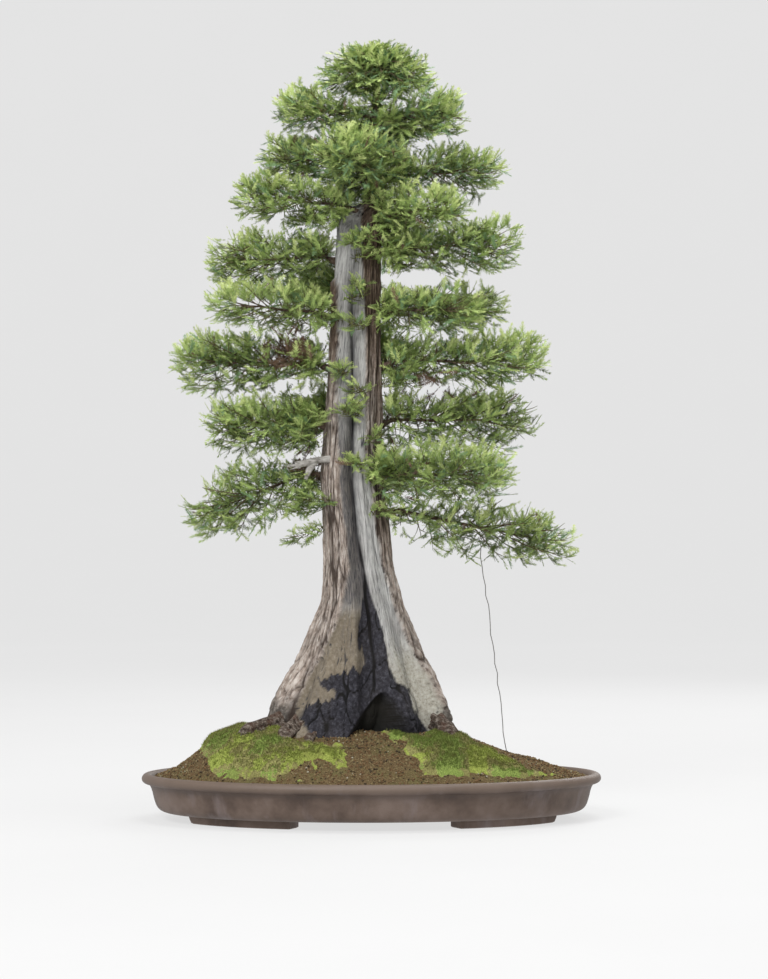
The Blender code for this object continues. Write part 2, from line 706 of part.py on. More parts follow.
def bough_line(pad, tree, radius):
    """Points of the bough that carries a mass, from the trunk to the mass."""
    aim = trunk_axis(pad.start.z - BOUGH_DROP)
    outward = Vector((pad.along.x, pad.along.y, BOUGH_RISE)).normalized()
    root = seat_on_trunk(tree, aim, outward, radius * BOUGH_COLLAR)
    tip = pad.start - pad.along * GAP
    pull = (tip - root).length / 3
    bend_a, bend_b = root + outward * pull, tip - pad.along * pull
    points = []
    for k in range(BOUGH_POINTS):
        t = k / (BOUGH_POINTS - 1)
        points.append((1 - t) ** 3 * root + 3 * (1 - t) ** 2 * t * bend_a
                      + 3 * (1 - t) * t ** 2 * bend_b + t ** 3 * tip)
    points[1] = root + outward * (points[1] - root).length
    points[-2] = tip - pad.along * (points[-2] - tip).length
    return points


def bough_radii(radius):
    tip = radius * BOUGH_TIP_SHARE
    radii = [radius + (tip - radius) * k / (BOUGH_POINTS - 1) for k in range(BOUGH_POINTS)]
    radii[0] = radius * BOUGH_COLLAR
    return radii


def near_line(point, points, radii, clearance):
    """True where a point is inside a limb or within the clearance of it."""
    for a, b, ra, rb in zip(points, points[1:], radii, radii[1:]):
        run = b - a
        t = min(max((point - a).dot(run) / run.length_squared, 0.0), 1.0)
        if (point - (a + run * t)).length < ra + (rb - ra) * t + clearance:
            return True
    return False


# Foliage

def stem_of(pad, chance):
    """The mass's own stem: points and radii."""
    length = (pad.end - pad.start).length * STEM_SHARE
    points, radii = [], []
    for k in range(STEM_POINTS):
        t = k / (STEM_POINTS - 1)
        sway = 0.0 if k < 2 else STEM_SWAY
        points.append(pad.point(length * t, chance.uniform(-sway, sway),
                                chance.uniform(-0.5, 0.5) * sway))
        radii.append(STEM_RADIUS + (STEM_TIP_RADIUS - STEM_RADIUS) * t)
    return points, radii


def on_line(points, share):
    """Point at a share of a line's length, by its points."""
    place_on = min(max(share, 0.0), 0.9999) * (len(points) - 1)
    k = int(place_on)
    return points[k].lerp(points[k + 1], place_on - k)


def some_roll(chance):
    return chance.choice((-1.0, 1.0)) * chance.uniform(*SPRAY_ROLL)


def sprays_of(pad, stem, chance, count):
    """Seeded rule of the foliage: a spiral of sprays round the stem, opening from its end.

    Each is a place on the stem, a direction, the way to the edge of the space, and a roll.
    """
    sprays = []
    for k in range(count):
        share = (1.0 - (k + 0.5) / count) ** SPRAY_INWARD
        opening = share ** SPRAY_CONE_POWER
        cone = math.radians(pad.cone[0] + (pad.cone[1] - pad.cone[0]) * opening)
        turn = SPRAY_TURN * k + chance.uniform(-SPRAY_TURN_PLAY, SPRAY_TURN_PLAY)
        way = (pad.along * math.cos(cone) + pad.across * math.sin(cone) * math.cos(turn)
               + pad.up * math.sin(cone) * math.sin(turn) * pad.flatness).normalized()
        root = on_line(stem, pad.lowest + (1.0 - pad.lowest) * share)
        roll = some_roll(chance)
        edge = 0.0
        while pad.holds(root + way * (edge + SPACE_STEP)):
            edge += SPACE_STEP
        sprays.append((root, way, edge, roll))
    return sprays


def core_mesh(pad):
    """Lumpy closed core along the stem, smaller than the mass's space."""
    length = pad.half[0] * 2.0 * CORE_SHARE[0]
    begin = pad.half[0] * (1.0 - CORE_SHARE[0]) * CORE_BEGIN
    if pad.sprays == APEX_SPRAYS:
        begin, length = APEX_CORE
    chance = random.Random("%d %s core" % (SEED, pad.name))
    rings = []
    for share, size in CORE_RINGS:
        middle = pad.point(begin + length * share, 0.0, 0.0)
        ring = []
        for k in range(CORE_SIDES):
            turn = 2.0 * math.pi * (k + 0.5 * (len(rings) % 2)) / CORE_SIDES
            swell = size * chance.uniform(*CORE_UNEVEN)
            ring.append(middle
                        + pad.across * pad.half[1] * CORE_SHARE[1] * swell * math.cos(turn)
                        + pad.up * pad.half[2] * CORE_SHARE[2] * swell * math.sin(turn))
        rings.append(ring)
    return lofted(rings, "core", tip=pad.point(begin + length, 0.0, 0.0))


def spray_points(root, way, roll, length):
    """Toothed outline of a spray, with the point of its ridge last."""
    across, up = cross_axes(way)
    tilt = math.radians(roll)
    side = across * math.cos(tilt) + up * math.sin(tilt)
    face = side.cross(way).normalized()
    half_width = length * SPRAY_WIDTH_SHARE
    outline = [root - way * SPRAY_FOOT]
    outline += [root + way * length * t + side * half_width * w for t, w in SPRAY_TEETH]
    outline.append(root + way * length)
    outline += [root + way * length * t - side * half_width * w
                for t, w in reversed(SPRAY_TEETH)]
    ridge = root + way * length * SPRAY_RIDGE_SHARE + face * length * SPRAY_THICKNESS_SHARE
    return outline + [ridge]


def spray_mesh(points):
    bm = bmesh.new()
    *ring, ridge = [bm.verts.new(point) for point in points]
    for a, b in zip(ring, ring[1:] + ring[:1]):
        bm.faces.new((a, b, ridge))
    bm.faces.new(ring[::-1])
    bmesh.ops.recalc_face_normals(bm, faces=bm.faces)
    mesh = bpy.data.meshes.new("spray")
    bm.to_mesh(mesh)
    bm.free()
    return mesh


def fits(points, pad, limbs):
    """True where every tested point is in the mass's space and clear of all limbs."""
    for point in points:
        if not pad.holds(point) or not outside_trunk(point, LIMB_GAP):
            return False
        if any(near_line(point, line, radii, LIMB_GAP) for line, radii in limbs):
            return False
    return True


def spaced(outline):
    """The outline's points, its middle, and the points halfway between."""
    middle = sum(outline, Vector()) / len(outline)
    return outline + [(point + middle) / 2 for point in outline] + [middle]


def keep_spray(spray, pad, limbs, others):
    """The longest trial of a spray that fits the space and crosses no other, or nothing."""
    root, way, edge, roll = spray
    for share, twist in SPRAY_TRIALS:
        length = min(SPRAY_LENGTH, edge * SPRAY_REACH) * share
        if length < SPRAY_SHORTEST:
            break
        foot = root + way * max(edge * share - length, 0.0) * SPRAY_REACH
        points = spray_points(foot, way, roll + twist, length)
        if not fits(spaced(points[1:]), pad, limbs):
            continue
        tree = spray_tree(points[1:])
        if not any(tree.overlap(other) for other in others):
            return foot, points, tree
    return None


def spray_tree(points):
    count = len(points) - 1
    faces = [(i, (i + 1) % count, count) for i in range(count)]
    return BVHTree.FromPolygons(points, faces)


def guard_tree(points, radii):
    """Surface of a limb, swollen by the clearance that foliage keeps from it."""
    return mesh_tree(tube(points, [radius + LIMB_GAP for radius in radii], 6, "guard"))


def trunk_guard():
    rings = [[trunk_point(angle, z, LIMB_GAP) for angle in trunk_angles()]
             for z in trunk_levels()]
    return mesh_tree(lofted(rings, "guard"))


def make_mass(pad, limbs, guards, group, cutters, green):
    """Stem, core, twigs and sprays joined into one closed body."""
    chance = random.Random("%d %s" % (SEED, pad.name))
    stem, radii = stem_of(pad, chance)
    pieces = bpy.data.collections.new(pad.name + "_pieces")
    cutters.children.link(pieces)
    mass = place(pad.name, tube(stem, radii, STEM_SIDES, pad.name), group, green)
    core = core_mesh(pad)
    core_tree = mesh_tree(core)
    place("core", core, pieces)
    placed = []
    for spray in sprays_of(pad, stem, chance, pad.sprays):
        kept = keep_spray(spray, pad, limbs, guards + placed)
        if not kept:
            continue
        foot, points, tree = kept
        placed.append(tree)
        place("spray", spray_mesh(points), pieces)
        root, way = spray[0], spray[1]
        if (foot - root).length > TWIG_SHORTEST and outside(core_tree, foot - way * SPRAY_SINK):
            run = [root, foot + way * SPRAY_SINK]
            place("twig", tube(run, [TWIG_RADIUS] * 2, TWIG_SIDES, "twig"), pieces)
    boolean(mass, "UNION", group=pieces)
    joined = evaluated_mesh(mass)
    mass.modifiers.clear()
    keep_main_body(joined)
    mass.data = joined
    joined.materials.clear()
    joined.materials.append(green)
    for item in list(pieces.objects):
        bpy.data.objects.remove(item, do_unlink=True)
    bpy.data.collections.remove(pieces)


def outside(tree, point):
    nearest, normal, _, _ = tree.find_nearest(point)
    return (point - nearest).dot(normal) > 0.0


def keep_main_body(mesh):
    """Drop loose scraps, and hollows that the joining sealed."""
    bm = bmesh.new()
    bm.from_mesh(mesh)
    bmesh.ops.triangulate(bm, faces=bm.faces)
    bmesh.ops.dissolve_degenerate(bm, dist=0.000001, edges=bm.edges)
    bm.faces.ensure_lookup_table()
    unseen = set(bm.faces)
    bodies = []
    while unseen:
        first = unseen.pop()
        body, queue = [first], [first]
        while queue:
            for edge in queue.pop().edges:
                for face in edge.link_faces:
                    if face in unseen:
                        unseen.remove(face)
                        body.append(face)
                        queue.append(face)
        bodies.append(body)
    bodies.sort(key=len)
    scraps = [face for body in bodies[:-1] for face in body]
    bmesh.ops.delete(bm, geom=scraps, context="FACES")
    bm.to_mesh(mesh)
    bm.free()


# Wire and dead bough

def make_wire(group, steel, pad, soil):
    """Thin guy wire from the lowest bough's stem down to the soil."""
    chance = random.Random("%d wire" % SEED)
    stem, _ = stem_of(pad, random.Random("%d %s" % (SEED, pad.name)))
    head = on_line(stem, WIRE_HEAD_SHARE)
    core = mesh_tree(core_mesh(pad))
    under = core.ray_cast(head - Vector((0.0, 0.0, 0.1)), Vector((0.0, 0.0, 1.0)))[0]
    head = under - Vector((0.0, 0.0, WIRE_HEAD_GAP))
    hit = surface_tree(soil).ray_cast(Vector((*WIRE_FOOT, 1.0)), Vector((0, 0, -1)))[0]
    foot = hit + Vector((0.0, 0.0, 2.0 * GAP))
    points = []
    for k in range(WIRE_SEGMENTS + 1):
        t = k / WIRE_SEGMENTS
        point = head.lerp(foot, t)
        if 0 < k < WIRE_SEGMENTS:
            point += Vector((chance.uniform(-1, 1), chance.uniform(-1, 1), 0.0)) * WIRE_KINK
        points.append(point)
    tapered_curve("guy_wire", points, [WIRE_RADIUS] * len(points), group, steel)
    return points, [WIRE_RADIUS] * len(points)


def make_dead_bough(group, tree, grey):
    outward = Vector(DEAD_BOUGH_WAY).normalized()
    aim = trunk_axis(DEAD_BOUGH_Z)
    root = seat_on_trunk(tree, aim, outward, DEAD_BOUGH_RADIUS)
    points, radii = [root], [DEAD_BOUGH_RADIUS]
    for share, drop, size in DEAD_BOUGH_LINE:
        points.append(root + outward * DEAD_BOUGH_LENGTH * share - Vector((0.0, 0.0, drop)))
        radii.append(DEAD_BOUGH_RADIUS * size)
    tapered_curve("dead_bough", points, radii, group, grey)
    return points, radii


def main():
    clear_scene()
    group = collection(MODEL_NAME)
    cutters = collection(CUTTER_NAME)
    skins = {name: material(name, *row) for name, row in MATERIALS.items()}

    make_pot(group, cutters, skins["brown_clay"])
    soil, raised = make_soil(group, cutters, skins["red_soil"])
    make_moss(group, raised, skins["moss"])
    trunk = make_trunk(group, skins["weathered_trunk"])
    tree = surface_tree(trunk)

    pads = make_pads(tree)
    limbs = [make_dead_bough(group, tree, skins["dead_wood"])]
    with_bough = pads[FIRST_WITH_BOUGH:-1]
    for number, pad in enumerate(with_bough):
        growth = number / (len(with_bough) - 1)
        radius = BOUGH_ROOT_RADIUS * (BOUGH_LEAST_SIZE + (1.0 - BOUGH_LEAST_SIZE) * growth)
        points = bough_line(pad, tree, radius)
        radii = bough_radii(radius)
        name = pad.name.replace("foliage", "bough")
        tapered_curve(name, points, radii, group, skins["bough_bark"])
        limbs.append((points, radii))
    limbs.append(make_wire(group, skins["dull_wire"], pads[-2], soil))

    guards = [guard_tree(points, radii) for points, radii in limbs] + [trunk_guard()]
    for pad in pads:
        make_mass(pad, limbs, guards, group, cutters, skins["redwood_needles"])


main()
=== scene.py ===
"""Coast redwood bonsai: the looks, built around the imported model."""
import math
import random

import bpy
import numpy as np
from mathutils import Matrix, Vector
from mathutils.bvhtree import BVHTree


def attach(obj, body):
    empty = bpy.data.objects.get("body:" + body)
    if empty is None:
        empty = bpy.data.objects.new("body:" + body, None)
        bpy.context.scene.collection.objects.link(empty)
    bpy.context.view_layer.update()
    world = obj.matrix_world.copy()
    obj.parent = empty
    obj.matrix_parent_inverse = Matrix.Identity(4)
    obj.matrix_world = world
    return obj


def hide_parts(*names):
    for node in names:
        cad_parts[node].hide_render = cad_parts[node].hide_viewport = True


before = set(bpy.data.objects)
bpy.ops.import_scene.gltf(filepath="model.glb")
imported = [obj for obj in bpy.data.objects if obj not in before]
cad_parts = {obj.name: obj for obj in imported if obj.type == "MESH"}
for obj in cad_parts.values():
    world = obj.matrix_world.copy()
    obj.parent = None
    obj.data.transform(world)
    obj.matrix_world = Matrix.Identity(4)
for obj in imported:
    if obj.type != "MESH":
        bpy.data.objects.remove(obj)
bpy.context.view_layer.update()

BAKE_MAP = "OFBake"
SEED = 27
GAP = 0.0003

# Camera, backdrop and lights

CAMERA_PLACE = (-0.108, -3.5, 0.348)
# In pixels: the middle of the picture, the point that a level line of sight meets, and the focal
# length.
PICTURE_MIDDLE = (384.0, 489.5)
LEVEL_POINT = (292.0, 560.0)
FOCAL_LENGTH = 2589.0
CAMERA_AIM = ((PICTURE_MIDDLE[0] - LEVEL_POINT[0]) / FOCAL_LENGTH, 1.0,
              (LEVEL_POINT[1] - PICTURE_MIDDLE[1]) / FOCAL_LENGTH)
CAMERA_LENS = 95.2
CAMERA_REACH = 60.0
BACKDROP_FLAT = 7.0
BACKDROP_CURVE = 3.0
BACKDROP_HEIGHT = 9.0
BACKDROP_SEGMENTS = 96
BACKDROP_BENDS = 12
BACKDROP_GLOW = 0.655
BACKDROP_TONE = 0.16
SKY_GLOW = 0.40
WHITE = (1.0, 1.0, 1.0, 1.0)
# Name, place, aim, size and power.
LAMPS = (("front_box", (-1.3, -2.6, 2.2), (0.0, 0.0, 0.5), (1.3, 1.0), 78.0),
         ("top_box", (0.5, -0.5, 3.2), (0.0, 0.0, 0.5), (1.8, 1.5), 62.0),
         ("back_box", (1.6, 2.8, 2.2), (0.0, 0.0, 0.5), (1.8, 1.4), 44.0))

# Pot

POT_LENGTH, POT_WIDTH, POT_HEIGHT = 0.620, 0.410, 0.062
POT_FOOT_HEIGHT = 0.010
POT_FLOOR_TOP = 0.020
POT_OUTSIDE = ((0.034, POT_FOOT_HEIGHT), (0.024, 0.0135), (0.0185, 0.022), (0.0125, 0.0475),
               (0.0035, 0.0490), (0.0, 0.0535), (0.0015, 0.0590), (0.0060, POT_HEIGHT))
POT_INSIDE = ((0.0115, 0.0615), (0.0150, 0.0575), (0.0180, 0.0470), (0.0300, POT_FLOOR_TOP))
POT_AROUND = 220
POT_ROUNDINGS = 2
FOOT_SPAN = (0.110, 0.245)
FOOT_INSET = 0.046
FOOT_BREADTH = 0.026
FOOT_STEPS = 16
# Height of each level of a foot, how much narrower it is and how much further in its outer end.
FOOT_LEVELS = ((0.0, 0.0016, 0.006), (0.0012, 0.0, 0.0045), (0.0060, 0.0, 0.002), (0.0125, 0.0, 0.0))

# Soil and moss

SOIL_EDGE_Z = 0.0545
SOIL_LUMP = 0.0012
MOUND_RIDGE = ((-0.292, 0.0560), (-0.262, 0.0690), (-0.238, 0.0870), (-0.215, 0.1040),
               (-0.174, 0.1180), (-0.135, 0.1240), (0.060, 0.1200), (0.112, 0.1140),
               (0.153, 0.0985), (0.184, 0.0865), (0.2325, 0.0735), (0.2866, 0.0560))
MOUND_FALL = 2.3
# Height and scale of the soil's crumb, and how far its edge is from the pot's wall.
SOIL_CRUMB = (0.0009, 160.0)
WALL_AT_SOIL = POT_INSIDE[1][0]
INNER_HALF = (POT_LENGTH / 2 - WALL_AT_SOIL, POT_WIDTH / 2 - WALL_AT_SOIL)
SOIL_INSET = WALL_AT_SOIL + 0.0004
SOIL_RINGS = 70
SOIL_AROUND = 240
GRAIN_COUNT = 15000
GRAIN_SIZE = (0.0011, 0.0021)
GRAIN_INSET = WALL_AT_SOIL + 0.0030
GRAIN_RAISED = 0.35
# Name, dark and light colour of each kind of grain, and the share of all grains at which each ends.
GRAINS = (("grain_red", (0.105, 0.060, 0.030), (0.190, 0.120, 0.060)),
          ("grain_tan", (0.140, 0.105, 0.050), (0.250, 0.200, 0.105)),
          ("grain_dark", (0.030, 0.022, 0.014), (0.075, 0.055, 0.034)),
          ("grain_pale", (0.260, 0.230, 0.160), (0.420, 0.390, 0.300)))
GRAIN_SHARES = (0.46, 0.83, 0.985)
# Name, first and last angle, reach as a share of the way to the rim, and how much brighter.
MOSS_PADS = (("moss_left", 158.0, 270.0, 0.80, 0.0), ("moss_right", 294.0, 355.0, 0.76, 0.10),
             ("moss_back", 24.0, 128.0, 0.74, 0.0))
# Bare soil inside the moss: x, y, half x, half y.
MOSS_BARE = ((-0.058, -0.172, 0.034, 0.022), (0.142, -0.158, 0.020, 0.022),
             (0.212, -0.030, 0.052, 0.050))
# Name, dark, middle and light colour of each kind of moss.
MOSSES = (("moss_bright", (0.100, 0.120, 0.026), (0.270, 0.320, 0.066), (0.450, 0.500, 0.140)),
          ("moss_olive", (0.085, 0.082, 0.030), (0.235, 0.225, 0.080), (0.400, 0.380, 0.160)),
          ("moss_deep", (0.070, 0.098, 0.025), (0.210, 0.280, 0.064), (0.350, 0.440, 0.120)))
MOSS_ROUND, MOSS_OUT = 150, 84
MOSS_SEED = 40
# How far a pad spreads, as shares of the way to the rim: everywhere, and more to front and right.
MOSS_REACH = 0.03
MOSS_SPREAD = 0.17
MOSS_SPREAD_TURN = math.radians(325.0)
# Ragged edge: how far in from the pad's own limits it runs, and its noise as height, scale, seed
# and octaves.
MOSS_INSET = 0.008
MOSS_RAGGED = ((0.024, 22.0, 11, 2), (0.016, 52.0, 0, 3))
MOSS_BORDER = 0.0006
MOSS_HOLES = (0.020, 0.030, 26.0)
# At the back the ends lean and the edge is calmer, with fewer holes.
MOSS_BACK_LEAN = (0.14, 15.0)
MOSS_BACK_CALM = 0.55
MOSS_BACK_FEWER = 0.014
MOSS_BARE_SLOPE = 0.03
# Height over the soil, the depth from the edge at which it is reached, and what is shown of it.
MOSS_HEIGHT = 0.0072
MOSS_FULL_DEPTH = 0.016
MOSS_SHOWN = 0.05
MOSS_SUNK = 0.0022
MOSS_LIFT = 0.0026
MOSS_CUSHIONS = (0.20, (0.80, 0.021), (0.26, 0.008))
CUSHION_STRAY, CUSHION_WIDTH = 0.42, 0.85
MOSS_VELVET = (0.0006, 700.0)
MOSS_COVERS = 0.004
MOSS_TONES = (-0.22, 0.16)
MOSS_TUFTS = 5600
TUFT_BLADES = 3
TUFT_TURNS = (6.28, 2.09)
TUFT_STRAY, TUFT_SUNK = 0.0007, 0.0004
TUFT_LEAN = (0.35, 0.5)
TUFT_LENGTH = (0.0020, 0.0024)
TUFT_HALF_WIDTH = 0.00045

# Trunk

TRUNK_BASE_Z = 0.112
FLARE_TOP_Z = 0.1355
TRUNK_SECTIONS = (
    (0.1120, -0.160, 0.110, -0.096, 0.088), (0.1190, -0.149, 0.103, -0.092, 0.084),
    (0.1354, -0.137, 0.102, -0.086, 0.078), (0.1517, -0.131, 0.098, -0.080, 0.072),
    (0.1787, -0.118, 0.085, -0.068, 0.062), (0.2165, -0.097, 0.069, -0.056, 0.052),
    (0.2395, -0.088, 0.059, -0.050, 0.047), (0.2880, -0.067, 0.040, -0.041, 0.039),
    (0.3477, -0.063, 0.0245, -0.036, 0.035), (0.4020, -0.065, 0.0195, -0.034, 0.033),
    (0.4560, -0.068, 0.0120, -0.032, 0.031), (0.6110, -0.058, 0.0108, -0.028, 0.028),
    (0.7270, -0.052, 0.0108, -0.025, 0.025), (0.8030, -0.047, 0.0120, -0.022, 0.022),
    (0.8240, -0.010, 0.0165, -0.0135, 0.0135), (0.9300, -0.004, 0.0140, -0.0090, 0.0090),
    (0.9900, 0.002, 0.0100, -0.0040, 0.0040), (1.0180, 0.0055, 0.0090, -0.0018, 0.0018))
ROOT_ANGLES = (0.0, 62.0, 118.0, 180.0, 228.0, 312.0)
ROOT_SPREAD = 22.0
ROOT_HOLLOW = 0.20
ROOT_TOP_Z = 0.33
GROOVE_LINE = ((0.15, -0.0054), (0.26, -0.0095), (0.35, -0.0190), (0.46, -0.0270), (0.80, -0.0270))
GROOVE_WIDTH = 0.013
GROOVE_DEPTH = 0.010
CAVE_PEAK_Z = 0.172
CAVE_HALF_WIDTH = 0.050
CAVE_X = 0.014
CAVE_BACK = 0.034
CAVE_ARCH = 0.7
CAVE_SLANT = 0.25
RIDGES = (0.048, 8.0, 6.0, 1.1)
DEAD_LEFT = ((0.160, -0.103), (0.220, -0.071), (0.270, -0.047), (0.340, -0.032),
             (0.440, -0.045), (0.730, -0.049))
DEAD_RIGHT = ((0.160, 0.086), (0.230, 0.053), (0.280, 0.029), (0.340, 0.016),
              (0.420, 0.002), (0.500, -0.010), (0.730, -0.011))
DEAD_DEPTH = 0.004
DEAD_SLOPE = 0.006
LIVE_TOP_Z = 0.8135

SECTION_EASING = (-0.008, -0.004, 0.0, 0.004, 0.008)
TRUNK_AROUND = 384
# Noise on the trunk's surface: scale around, scale upward, seed, octaves.
TRUNK_NOISE = {
    "long_splinters": (7.0, 0.0, 21, 1), "short_splinters": (19.0, 0.0, 22, 1),
    "wide_edges": (9.0, 34.0, 23, 3), "fine_edges": (34.0, 190.0, 48, 2),
    "ropes": (9.0, 11.0, 25, 1), "low_strands": (22.0, 32.0, 26, 1),
    "high_strands": (14.0, 44.0, 27, 1), "low_fibres": (56.0, 110.0, 28, 1),
    "high_fibres": (34.0, 90.0, 29, 1), "flakes": (40.0, 150.0, 36, 2),
    "cracks": (20.0, 7.0, 37, 1), "cracked_patches": (6.0, 14.0, 38, 1),
    "swirls": (5.0, 22.0, 39, 2)}
STRAY = (0.05, 0.05, 0.012)
# Middle height and half height of the dead top's broken edge.
BROKEN_TOP = (0.812, 0.020)
# Relief of the bark, of the bare wood and of the char, in metres.
ROPE_DEPTH, STRAND_DEPTH, FIBRE_DEPTH, FLAKE_DEPTH = 0.0056, 0.0050, 0.0020, 0.0009
WOOD_SUNK, WOOD_SWIRL, WOOD_FIBRE, WOOD_CRACK = 0.0006, 0.0026, 0.0012, 0.0036
CHAR_SUNK, CHAR_LUMP, CHAR_BLOCK, CHAR_CRACK = 0.0030, 0.0040, 0.0050, 0.0030
LIP_HEIGHT = 0.0044
SPLIT_DEPTH = 0.006
# The crack up the middle of the dead front and its half width, as (height, X or width).
CRACK_LINE = ((0.172, 0.0), (0.214, 0.0027), (0.255, -0.004), (0.282, -0.0068), (0.322, -0.0108),
              (0.363, -0.0176), (0.39, -0.0216), (0.44, -0.0255), (0.74, -0.0275))
CRACK_WIDTH = ((0.17, 0.0022), (0.30, 0.0024), (0.42, 0.0042), (0.76, 0.0046))
# Share of painted shade along the bottom of that crack, as (height, share).
CRACK_PAINTED_SHADE = ((0.30, 1.0), (0.40, 0.80), (0.7, 0.70))
# Rows of the trunk's surface: from height, to height, count.
TRUNK_ROWS = ((0.112, 0.200, 44), (0.200, 0.340, 48), (0.340, 0.780, 62), (0.780, 0.840, 18),
              (0.840, 1.018, 10))
# Lines on the trunk's front, as (height, X): where the left bark ends, where the char lies, and
# where the right bark begins.
BARK_LEFT = ((0.112, -0.125), (0.135, -0.108), (0.163, -0.101), (0.190, -0.089), (0.217, -0.0716),
             (0.242, -0.0595), (0.269, -0.0473), (0.296, -0.0406), (0.337, -0.0324),
             (0.390, -0.0378), (0.444, -0.0446), (0.564, -0.0487), (0.720, -0.0487),
             (0.740, -0.0700))
BARK_RIGHT = ((0.112, 0.108), (0.149, 0.0950), (0.176, 0.0830), (0.203, 0.0706), (0.229, 0.0557),
              (0.256, 0.0414), (0.283, 0.0316), (0.310, 0.0240), (0.337, 0.0157), (0.363, 0.0116),
              (0.390, 0.0054), (0.417, 0.0023), (0.457, -0.0004), (0.496, -0.0080),
              (0.564, -0.0081), (0.726, -0.0108), (0.810, -0.0135))
CHAR_LEFT = ((0.112, -0.080), (0.135, -0.097), (0.149, -0.090), (0.160, -0.086), (0.167, -0.056),
             (0.176, -0.056), (0.184, -0.070), (0.191, -0.0735), (0.197, -0.060),
             (0.2025, -0.0125), (0.217, -0.0138), (0.242, -0.0206), (0.269, -0.0200),
             (0.296, -0.0125), (0.330, -0.0125), (0.390, -0.0225), (0.440, -0.0275),
             (0.550, -0.0285), (0.740, -0.0290))
CHAR_RIGHT = ((0.112, 0.080), (0.122, 0.0743), (0.149, 0.0554), (0.176, 0.0473), (0.190, 0.0291),
              (0.217, 0.0223), (0.242, 0.0169), (0.269, 0.0089), (0.296, -0.0004),
              (0.323, -0.0071), (0.390, -0.0200), (0.440, -0.0250), (0.550, -0.0245),
              (0.740, -0.0280))
MARK_EDGE = 0.003

# Boughs and foliage, by the same rule as the solids

DEAD_BOUGH_Z = 0.487
DEAD_BOUGH_LENGTH = 0.074
DEAD_BOUGH_RADIUS = 0.0055
DEAD_BOUGH_WAY = (-1.0, -0.55, -0.10)
# Share of the length, drop and share of the radius; the stub swells from this towards its end.
DEAD_BOUGH_LINE = ((0.20, 0.0, 0.85), (0.45, 0.003, 0.70), (0.70, 0.004, 0.50))
DEAD_BOUGH_SWELL = 1.1
DEAD_BOUGH_COLLAR = 1.3
DEAD_BOUGH_STEPS, DEAD_BOUGH_ROUGH = 34, 0.45
# The lower prong: the step of the bough that it leaves, its line as way out and down, and radii.
PRONG_FROM = 19
PRONG_LINE = ((0.011, 0.012), (0.016, 0.024))
PRONG_RADII = (0.0055, 0.0022)
PRONG_STEPS, PRONG_SIDES = 16, 12
SPLINTERS = 9
SPLINTER_REACH = 0.30
SPLINTER_RADII = (0.0022, 0.0003)
SPLINTER_STEPS, SPLINTER_SIDES = 7, 5
# How far a splinter's foot is off the stub's middle and back from its end, and how it leans.
SPLINTER_OFF = 0.0016
SPLINTER_BACK = (0.004, 0.018)
SPLINTER_ASIDE, SPLINTER_RISE = (-0.28, 0.28), (-0.30, 0.16)
SPLINTER_SIZE = (0.5, 1.0)
SPLINTER_BEND = 0.001
SURFACE_ROOTS = ((((-0.122, -0.032, 0.128), (-0.146, -0.046, 0.124), (-0.166, -0.056, 0.120),
                   (-0.188, -0.064, 0.106)), (0.015, 0.013, 0.0105, 0.0060)),
                 (((-0.100, -0.050, 0.128), (-0.114, -0.072, 0.121), (-0.124, -0.090, 0.108)),
                  (0.015, 0.0125, 0.0080)),
                 (((-0.076, -0.050, 0.120), (-0.083, -0.074, 0.114), (-0.088, -0.092, 0.103)),
                  (0.011, 0.0095, 0.0070)),
                 (((0.084, -0.034, 0.132), (0.097, -0.050, 0.123), (0.106, -0.060, 0.111),
                   (0.109, -0.066, 0.098)), (0.012, 0.0135, 0.0125, 0.0090)))
ROOT_STEPS, ROOT_SIDES, ROOT_ROUGH = 26, 24, 0.50
RAY_START = 0.4
BOUGH_SUNK, DEAD_BOUGH_SUNK = 0.007, 0.006
BOUGH_ROOT_RADIUS = 0.0075
BOUGH_COLLAR = 1.35
# Share of the length, and of the radius at the trunk.
BOUGH_TAPER = ((0.0, BOUGH_COLLAR * 1.25), (0.06, BOUGH_COLLAR), (0.14, 1.0), (0.4, 0.52), (1.0, 0.16))
BOUGH_STEPS, LIMB_SIDES = 46, 14
STEM_STEPS, STEM_RADII = 16, (0.0034, 0.0008)
BOUGH_DROP = 0.010
BOUGH_RISE = 0.10
BOUGH_LEAST_SIZE = 0.55
